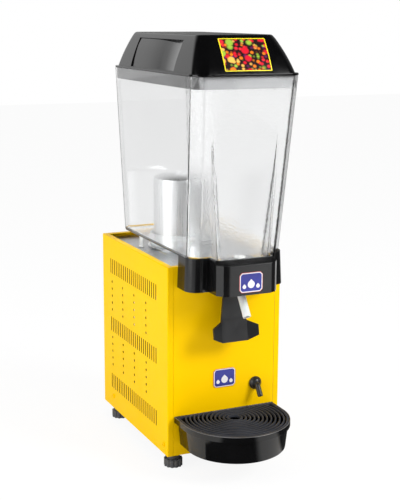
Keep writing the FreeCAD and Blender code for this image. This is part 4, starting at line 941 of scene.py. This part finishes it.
def raised_drop(x, y, z, size):
    """Flat drop with its point up: a disc joined to a block on its corner."""
    drop = drum("drop", (x, y, z), size, 0.0006, "Y", 40)
    point = block("drop_point", (x - size * 0.98, y - 0.0003, z), (x, y + 0.0003, z + size * 0.98))
    swing(point, -math.radians(45), "Y", about=(x, y, z))
    cut_with(drop, point, "UNION")
    return drop


for name, node, y, z in (("housing_badge_plate", "housing_badge", -0.1786, 0.3195),
                         ("panel_badge_plate", "panel_badge", -0.0906, 0.142)):
    plate = block(name, (-0.0195, y - 0.0004, z - 0.0155), (0.0195, y + 0.0005, z + 0.0155))
    bevel_where(plate, "EDGE", lambda edge: length_along(edge, Y) > 0.0005, 0.004, 1)
    coat(plate, badge_edge, badge_rim, badge_blue)
    pick(plate, "FACE", facing(Y, -1))
    for slot, width, depth in ((1, 0.0006, 0.0001), (2, 0.0013, 0)):
        bpy.ops.mesh.inset(thickness=width, depth=depth)
        assign(plate, slot)
    leave_edit()
    drops = [raised_drop(x, y - 0.0005, z + up, size) for x, up, size in (
        (0, -0.003, 0.0058), (-0.0115, -0.0062, 0.003), (0.0115, -0.0062, 0.003))]
    for drop in drops:
        round_edges(drop, 0.00012, 2)
        coat(drop, badge_rim)
    join_up([plate] + drops)
    finish_piece(plate, None, "cabinet", "badge_blue", node)


# Bowl. One clear injection moulding of impact-proof plastic: a tapered tub whose front
# carries an upright chute down to the outlet; it lifts off the seal for washing.

def clear_plastic():
    """Clear plastic, very faintly grey, with a fine stipple moulded into the front face only."""
    material, tree, shader = new_finish("clear_bowl_plastic")
    tint(tree, mottle(tree, 5), [(0.35, (0.935, 0.938, 0.94)), (0.65, (0.952, 0.955, 0.957))], shader)
    gloss(tree, mottle(tree, 14), 0.015, 0.035, shader)
    adjust(shader, Transmission_Weight=1, IOR=1.49)
    place = wire(tree, "TexCoord", out="Object")
    front = wire(tree, "MapRange", along(tree, place, "Y"), -0.126, -0.134)
    stipple = wire(tree, "TexNoise", place, Scale=420, Detail=2)
    relief(tree, compute(tree, "MULTIPLY", stipple, front), 0.6, 0.0006, shader)
    seen_through = wire(tree, "BsdfTransparent", (0.93, 0.94, 0.945, 1))
    surface = wire(tree, "MixShader", wire(tree, "LightPath", out="Is Shadow Ray"), shader.outputs[0], seen_through)
    tree.links.new(surface, tree.nodes["Material Output"].inputs["Surface"])
    return material


floor_z, rim_z = 0.347, 0.625
wall = 0.003
stirrer_y = -0.0081


def soft_corners(piece, bend, bend_steps, foot):
    """Bevel the folds of a chamfered tub and the edges round its floor."""
    bevel_where(piece, "EDGE", lambda edge: length_along(edge, Z) > 0.2, bend, bend_steps)
    bevel_where(piece, "FACE", facing(Z, -1), foot, 4)


bowl = tub("clear_bowl", (0.0789, -0.1327, 0.1608, floor_z), (0.0888, -0.1669, 0.1757, rim_z), 0.015, steps=1)
soft_corners(bowl, 0.003, 4, 0.0045)
chute = tub("chute", (0.0445, -0.1566, -0.115, floor_z), (0.0588, -0.1566, -0.115, 0.56), 0.004, front_only=True)
cut_with(bowl, chute, "UNION")
inside = tub("bowl_inside", (0.0759, -0.1297, 0.1578, floor_z + wall), (0.086, -0.164, 0.1729, rim_z + 0.004),
             0.0132, steps=1)
soft_corners(inside, 0.0016, 3, 0.004)
cut_with(bowl, inside)
cut_with(bowl, tub("chute_inside", (0.0415, -0.1536, -0.115, floor_z + wall), (0.0556, -0.1536, -0.115, 0.56),
                   0.003, front_only=True))
cut_with(bowl, drum("cup_hole", (0, 0.0869, floor_z), 0.046, 0.02, sides=96))
cut_with(bowl, drum("outlet_hole", (0, outlet_y, floor_z), 0.00405, 0.02, sides=40))
cut_with(bowl, turned("stirrer_pin", (0, stirrer_y, 0), [
    (4.4, 349), (4.4, 349.8), (3.2, 350.8), (3, 352), (3, 361.8), (2.6, 362.7), (1.6, 363)], 40), "UNION")
finish_piece(bowl, clear_plastic(), "bowl", "clear_plastic", "bowl")

spigot = turned("bowl_outlet", (0, outlet_y, 0), [
    (2.8, 352), (8.2, 352), (9, 351.4), (9, 350), (4, 350), (4, 334.5), (4.15, 333.8), (3.7, 331), (2.8, 331),
    (2.8, 352)], 48, hollow=True)
finish_piece(spigot, white_plastic, "bowl", "white_plastic", "bowl_spigot")


# Impeller. White moulded paddle wheel that drops over the bowl's pin and is turned
# through the floor by the magnet disc below.

impeller_centre = (0, stirrer_y, 0)
natural_plastic = grained("natural_plastic", (0.8, 0.8, 0.79), (0.86, 0.86, 0.85), (0.3, 0.42), 1400, 0.00006,
                          Transmission_Weight=0.8)
wheel = turned("stirrer_wheel", impeller_centre, [
    (11.4, 350.3), (12, 350.9), (12, 356), (10.8, 359), (9.8, 361.8), (8.8, 364), (7, 365.1), (4, 365.3)], 64)
cut_with(wheel, drum("wheel_bore", (0, stirrer_y, 0.3555), 0.0033, 0.0165, sides=32))
vanes = []
for vane in range(6):
    blade = block("vane", (0.0105, -0.0012, 0.3503), (0.027, 0.0012, 0.3563))
    bevel_where(blade, "EDGE", lambda edge: all(vert.co.x > 0.02 for vert in edge.verts)
                and length_along(edge, Y) > 0.001 and edge.verts[0].co.z > 0.355, 0.0028, 4)
    round_edges(blade, 0.0004, 2)
    swing(blade, math.pi * vane / 3, "Z", impeller_centre)
    vanes.append(blade)
join_up([wheel] + vanes)
finish_piece(wheel, natural_plastic, "impeller", "white_plastic", "impeller")


# Lid. Black gloss ABS dome with a finger grip in each flank; its flange lies on the
# bowl's rim and a skirt plugs into the bowl.

lid_gloss = grained("lid_black_gloss", (0.0012, 0.0012, 0.0014), (0.002, 0.002, 0.0023), (0.1, 0.15), 300, 0.00003)
lid_matt = grained("lid_top_matt", 0.003, 0.006, (0.4, 0.5), 1500)
lid_satin = grained("lid_grey_skirt", (0.028, 0.028, 0.029), (0.05, 0.05, 0.052), (0.35, 0.5), 900)
# The skirt's front faces get a far lighter grey than the rest of the skirt: painted light on its front.
skirt_front_light = grained("lid_skirt_front_painted_light", (0.3, 0.3, 0.305), (0.38, 0.38, 0.385), (0.4, 0.5), 900)
dome_low, dome_high = 0.6285, 0.684
dome_half, dome_front, dome_rear = 0.0845, -0.1636, 0.1719
dome_front_lean, dome_crown = 0.0335 / (dome_high - dome_low), (0.0018, 0.0024, 0.0015)


def crown_at(z):
    """How far the dome's sloping sides swell at a height, as a share of their crown."""
    share = (z - dome_low) / (dome_high - dome_low)
    return 4 * share * (1 - share)


dome = tub("domed_lid", (dome_half, dome_front, dome_rear, dome_low), (0.063, -0.1301, 0.1499, dome_high), 0.019)
bevel_where(dome, "FACE", facing(Z), 0.0032, 4)
crown_levels = (0.634, 0.641, 0.649, 0.657, 0.665, 0.672, 0.678)
slice_at(dome, Z, crown_levels)
for z in crown_levels:
    pick(dome, "VERT", lambda vert: abs(vert.co.z - z) < 0.00005)
    share = (z - dome_low) / (dome_high - dome_low)
    half, front, rear = dome_half - 0.0215 * share, dome_front + 0.0335 * share, dome_rear - 0.022 * share
    side_swell, front_swell, rear_swell = [swell * crown_at(z) for swell in dome_crown]
    resize(((half + side_swell) / half, (rear + rear_swell - front + front_swell) / (rear - front), 1),
           (0, (front + rear) / 2, z))
    shift((0, (rear_swell - front_swell) / 2, 0))
leave_edit()
flank_lean = 0.0215 / (dome_high - dome_low)
grip_low, grip_high = 0.6296, 0.6755
grip_front, grip_rear = -0.0781, 0.0989
grip_levels = crown_levels[1:-2]
scoop = ((0.06, 0), (0.03, 0.0004), (0.008, 0.0014), (-0.008, 0.0029), (-0.026, 0.0045), (-0.04, 0.0044),
         (-0.056, 0.0028), (-0.07, 0.0008), (grip_front, -0.0008))
for side in (-1, 1):
    flank_x = dome_half - flank_lean * (grip_low - dome_low)
    grip_x0, grip_x1 = sorted((side * (flank_x - 0.0022), side * (flank_x + 0.03)))
    grip = block("finger_grip", (grip_x0, grip_front, grip_low), (grip_x1, grip_rear, grip_high))
    pick(grip, "VERT", lambda vert: vert.co.z > 0.66)
    shift((-side * (flank_lean * (grip_high - grip_low) - 0.0014), 0, 0))
    slice_at(grip, Z, grip_levels)
    slice_at(grip, Y, [y for y, _ in scoop[:-1]])
    for z in grip_levels:
        pick(grip, "VERT", lambda vert: abs(vert.co.z - z) < 0.0001)
        shift((side * dome_crown[0] * crown_at(z), 0, 0))
    for y, deeper in scoop:
        pick(grip, "VERT", lambda vert: abs(vert.co.y - y) < 0.0001
             and side * vert.co.x < flank_x - flank_lean * (vert.co.z - grip_low) + 0.01)
        shift((-side * deeper, 0, 0))
    leave_edit()
    cut_with(dome, grip)
cut_with(dome, tub("dome_inside", (0.077, -0.1561, 0.1644, dome_low - 0.004),
                   (0.057, -0.1276, 0.1474, dome_high - 0.0025), 0.012))
round_edges(dome, 0.0006, 2, 30)
flange = straight_tub("lid_flange", 0.0892, -0.1673, 0.1761, rim_z, dome_low, 0.0224)
cut_with(flange, straight_tub("flange_inside", 0.08, -0.159, 0.167, 0.62, 0.632, 0.015))
round_edges(flange, 0.0008, 3, 50)
skirt = tub("lid_skirt", (0.0846, -0.1611, 0.1711, 0.607), (0.0848, -0.1613, 0.1713, 0.6262), 0.0184)
cut_with(skirt, straight_tub("skirt_inside", 0.0821, -0.1586, 0.1686, 0.6, 0.632, 0.0159))
round_edges(skirt, 0.0005, 2, 50)
coat(dome, lid_gloss, lid_matt)
coat(flange, lid_gloss)
coat(skirt, lid_satin, skirt_front_light)
paint(dome, 1, lambda face: face.normal.z > 0.9 and mid(face).z > 0.683)
# Painted light: the skirt's front faces take the lighter grey.
paint(skirt, 1, lambda face: face.normal.y < -0.8 and mid(face).y < -0.15)
join_up([dome, flange, skirt])
finish_piece(dome, None, "lid", "lid_black", "lid")


# Lid panel. Printed film behind gloss lacquer, stuck on the lid's sloping front: a
# yellow border round a plain pattern of coloured bubbles.

def bubble_print():
    """Printed pattern of shaded bubbles in warm colours on near black."""
    material, tree, shader = new_finish("bubble_print")
    place = wire(tree, "Mapping", wire(tree, "TexCoord", out="Object"),
                 Scale=(1, 1, 1.15), Location=(0.031, 0, 0.012))
    hues = ((0, (0.72, 0.012, 0.03)), (0.24, (0.93, 0.22, 0.01)), (0.44, (0.97, 0.52, 0.1)),
            (0.6, (0.12, 0.015, 0.1)), (0.68, (0.33, 0.52, 0.05)), (0.82, (0.85, 0.03, 0.04)))
    layer = rgb((0.02, 0.01, 0.01))
    for size, full, gone in ((150, 0.2, 0.62), (64, 0.3, 0.5)):
        cells = wire(tree, "TexVoronoi", place, Scale=size, Randomness=0.8).node.outputs
        hue = ramp(tree, wire(tree, "SeparateColor", cells["Color"]), hues)
        hue.node.color_ramp.interpolation = "CONSTANT"
        ball = wire(tree, "MapRange", cells["Distance"], gone, full, interpolation_type="SMOOTHSTEP")
        layer = colour_mix(tree, ball, layer, hue)
    tree.links.new(layer, shader.inputs["Base Color"])
    gloss(tree, mottle(tree, 90), 0.12, 0.2, shader)
    return material


panel_border = grained("panel_yellow_border", (0.86, 0.72, 0.01), (0.92, 0.8, 0.02), (0.2, 0.3), 900, 0.00005)
panel_low, panel_high = 0.6325, 0.679
panel_rows = 12
panel = block("lid_panel", (-0.0385, -0.0006, panel_low), (0.0385, 0, panel_high))
bevel_where(panel, "EDGE", lambda edge: length_along(edge, Y) > 0.0003, 0.001, 3)
coat(panel, panel_border, bubble_print())
pick(panel, "FACE", facing(Y, -1))
bpy.ops.mesh.inset(thickness=0.0016, depth=0)
assign(panel, 1)
slice_at(panel, Z, [panel_low + (panel_high - panel_low) * row / panel_rows for row in range(1, panel_rows)])
leave_edit()
for level in sorted({round(vert.co.z, 6) for vert in panel.data.vertices}):
    pick(panel, "VERT", lambda vert: abs(vert.co.z - level) < 0.000002)
    shift((0, dome_front + dome_front_lean * (level - dome_low) - dome_crown[1] * crown_at(level), 0))
    leave_edit()
finish_piece(panel, None, "lid", "label_print", "lid_label")


# Drip tray. Half-round black gloss moulding with a stepped rim; two hangers under its
# rear edge drop into the hooks on the cabinet.

tray_y = -0.1301


def half_round(name, low, high, rear):
    """Half-round block between two levels of (radius, z) with straight sides running back."""
    radius, z = low
    top_radius, top_z = high
    piece = drum(name, (0, tray_y, (z + top_z) / 2), radius, top_z - z, sides=128)
    pick(piece, "VERT", lambda vert: vert.co.z > (z + top_z) / 2)
    resize((top_radius / radius, top_radius / radius, 1), (0, tray_y, top_z))
    leave_edit()
    shave(piece, (0, tray_y, z), (0, 1, 0))
    pick(piece, "FACE", lambda face: face.normal.y > 0.9 and mid(face).y > tray_y - 0.001)
    extrude((0, rear - tray_y, 0))
    face_out()
    return piece


def half_plate(name, radius, low, high, rear):
    """Half-round block of one radius."""
    return half_round(name, (radius, low), (radius, high), rear)


tray_top, tray_low = 0.0885, 0.042
rim_low = tray_top - 0.01
tray = half_plate("drip_tray_moulding", 0.0878, rim_low, tray_top, -0.0904)
tray_body = half_round("tray_body", (0.0804, tray_low), (0.0844, rim_low + 0.0005), -0.0981)
bevel_where(tray_body, "FACE", facing(Z, -1), 0.003, 4)
cut_with(tray, tray_body, "UNION")
cut_with(tray, half_plate("grille_seat", 0.0862, tray_top - 0.004, tray_top + 0.002, -0.092))
cut_with(tray, half_round("basin", (0.0768, tray_low + 0.003), (0.0808, tray_top - 0.003), -0.1007))
round_edges(tray, 0.0007, 3, 30)
hangers = []
for x in (-0.0598, 0.0598):
    hanger = block("tray_hanger", (x - 0.014, -0.0943, rim_low - 0.008), (x + 0.014, -0.0913, rim_low + 0.0006))
    round_edges(hanger, 0.0004, 2)
    hangers.append(hanger)
join_up([tray] + hangers)
tray_gloss = grained("tray_black_gloss", (0.0018, 0.0018, 0.002), (0.003, 0.003, 0.0033), (0.07, 0.12), 400, 0.00005)
# The rounded front edge of the rim gets a lighter grey: a painted highlight along the rim.
rim_highlight_grey = grained("tray_rim_painted_highlight", (0.06, 0.06, 0.062), (0.16, 0.16, 0.165), (0.3, 0.45), 900)
coat(tray, tray_gloss, rim_highlight_grey)
# Painted highlight on the rim's rounded front edge.
paint(tray, 1, lambda face: face.normal.z > 0.1 and face.normal.xy.length > 0.2
      and mid(face).z > tray_top - 0.0008 and mid(face).y < -0.1
      and math.hypot(mid(face).x, mid(face).y - tray_y) > 0.0869)
finish_piece(tray, None, "tray", "tray_black", "drip_tray")


# Grille. Black moulded plate of concentric rounded ribs in a half-round frame, held
# together by four low spokes; it lies loose in the tray.

grille_low = tray_top - 0.004
grille = half_plate("grille_plate", 0.0856, grille_low, tray_top, -0.0926)
cut_with(grille, half_plate("grille_window", 0.082, grille_low - 0.001, tray_top + 0.001, -0.0962))
round_edges(grille, 0.0007, 3, 50)
first_rib, rib_pitch, rib_count = 0.0114, 0.00665, 11
whole_ribs_to = 0.034
rib_sides = ((-1.3, grille_low), (-1.3, tray_top - 0.0009), (-1.1, tray_top - 0.0003), (-0.4, tray_top),
             (0.4, tray_top), (1.1, tray_top - 0.0003), (1.3, tray_top - 0.0009), (1.3, grille_low),
             (-1.3, grille_low))
ribs = []
for rib in range(rib_count):
    radius = first_rib + rib * rib_pitch
    ring = turned("rib", (0, tray_y, 0), [(radius * 1000 + out, z * 1000) for out, z in rib_sides], hollow=True)
    if radius > whole_ribs_to:
        shave(ring, (0, -0.0944, 0), (0, 1, 0))
    ribs.append(ring)
spokes = []
for turn in (45, 135, 225, 315):
    reach = 0.084 if turn > 180 else 0.05
    spoke = block("spoke", (first_rib, -0.0015, grille_low), (reach, 0.0015, grille_low + 0.0014))
    round_edges(spoke, 0.0003, 2)
    swing(spoke, -math.radians(turn), "Z", (0, tray_y, 0))
    spokes.append(spoke)
join_up([grille] + ribs + spokes)
grille.name = "drip_grille_ribs"
grille_plastic = grained("grille_black_plastic", (0.036, 0.038, 0.045), (0.052, 0.055, 0.065), (0.3, 0.4), 1400,
                         Specular_IOR_Level=0.02)
finish_piece(grille, grille_plastic, "grille", "tray_black", "drip_grille")


# Drain spout. Black rubber elbow pushed through the front panel; it lets condensate
# from inside the cabinet run into the tray.

drain_x, drain_z = 0.0555, 0.126
drain_radius, drain_bend = 0.0044, 0.0055
lean_from, lean_to = 84, 35.2
bend_y, bend_z = -0.097, drain_z - 0.001
drain_rose = turned("drain_rose", (drain_x, 0, drain_z), [
    (4.4, -80.1), (4.4, -90), (10.2, -90.1), (10.8, -90.7), (10.8, -92.5), (10.3, -93.1), (9.6, -93.7), (8.8, -95),
    (7.8, -96.2), (6.6, -97.3), (5, -98.1), (3, -98.3)], 64, "Y")
drain_line = [(-0.0945, drain_z - 0.0006, 90), (bend_y, bend_z, lean_from)]
start = math.radians(lean_from)
for bend in range(1, 6):
    lean = lean_from - (lean_from - lean_to) * bend / 5
    arc = math.radians(lean)
    drain_line.append((bend_y - drain_bend * (math.cos(arc) - math.cos(start)),
                       bend_z - drain_bend * (math.sin(start) - math.sin(arc)), lean))
leg_y, leg_z, _ = drain_line[-1]
leg_drop = leg_z - 0.1089
drain_line.append((leg_y - leg_drop * 12 / 17, leg_z - leg_drop, lean_to))
drain_leg = drawn_hose("drain_leg", drain_x, [(y, z, drain_radius, drain_radius, -lean) for y, z, lean in drain_line],
                       0.0016)
round_edges(drain_leg, 0.0005, 3, 50)
join_up([drain_rose, drain_leg])
finish_piece(drain_rose, grained("drain_black_rubber", 0.012, 0.02, (0.26, 0.4), 1400),
             "cabinet", "drain_black", "drain_spout")
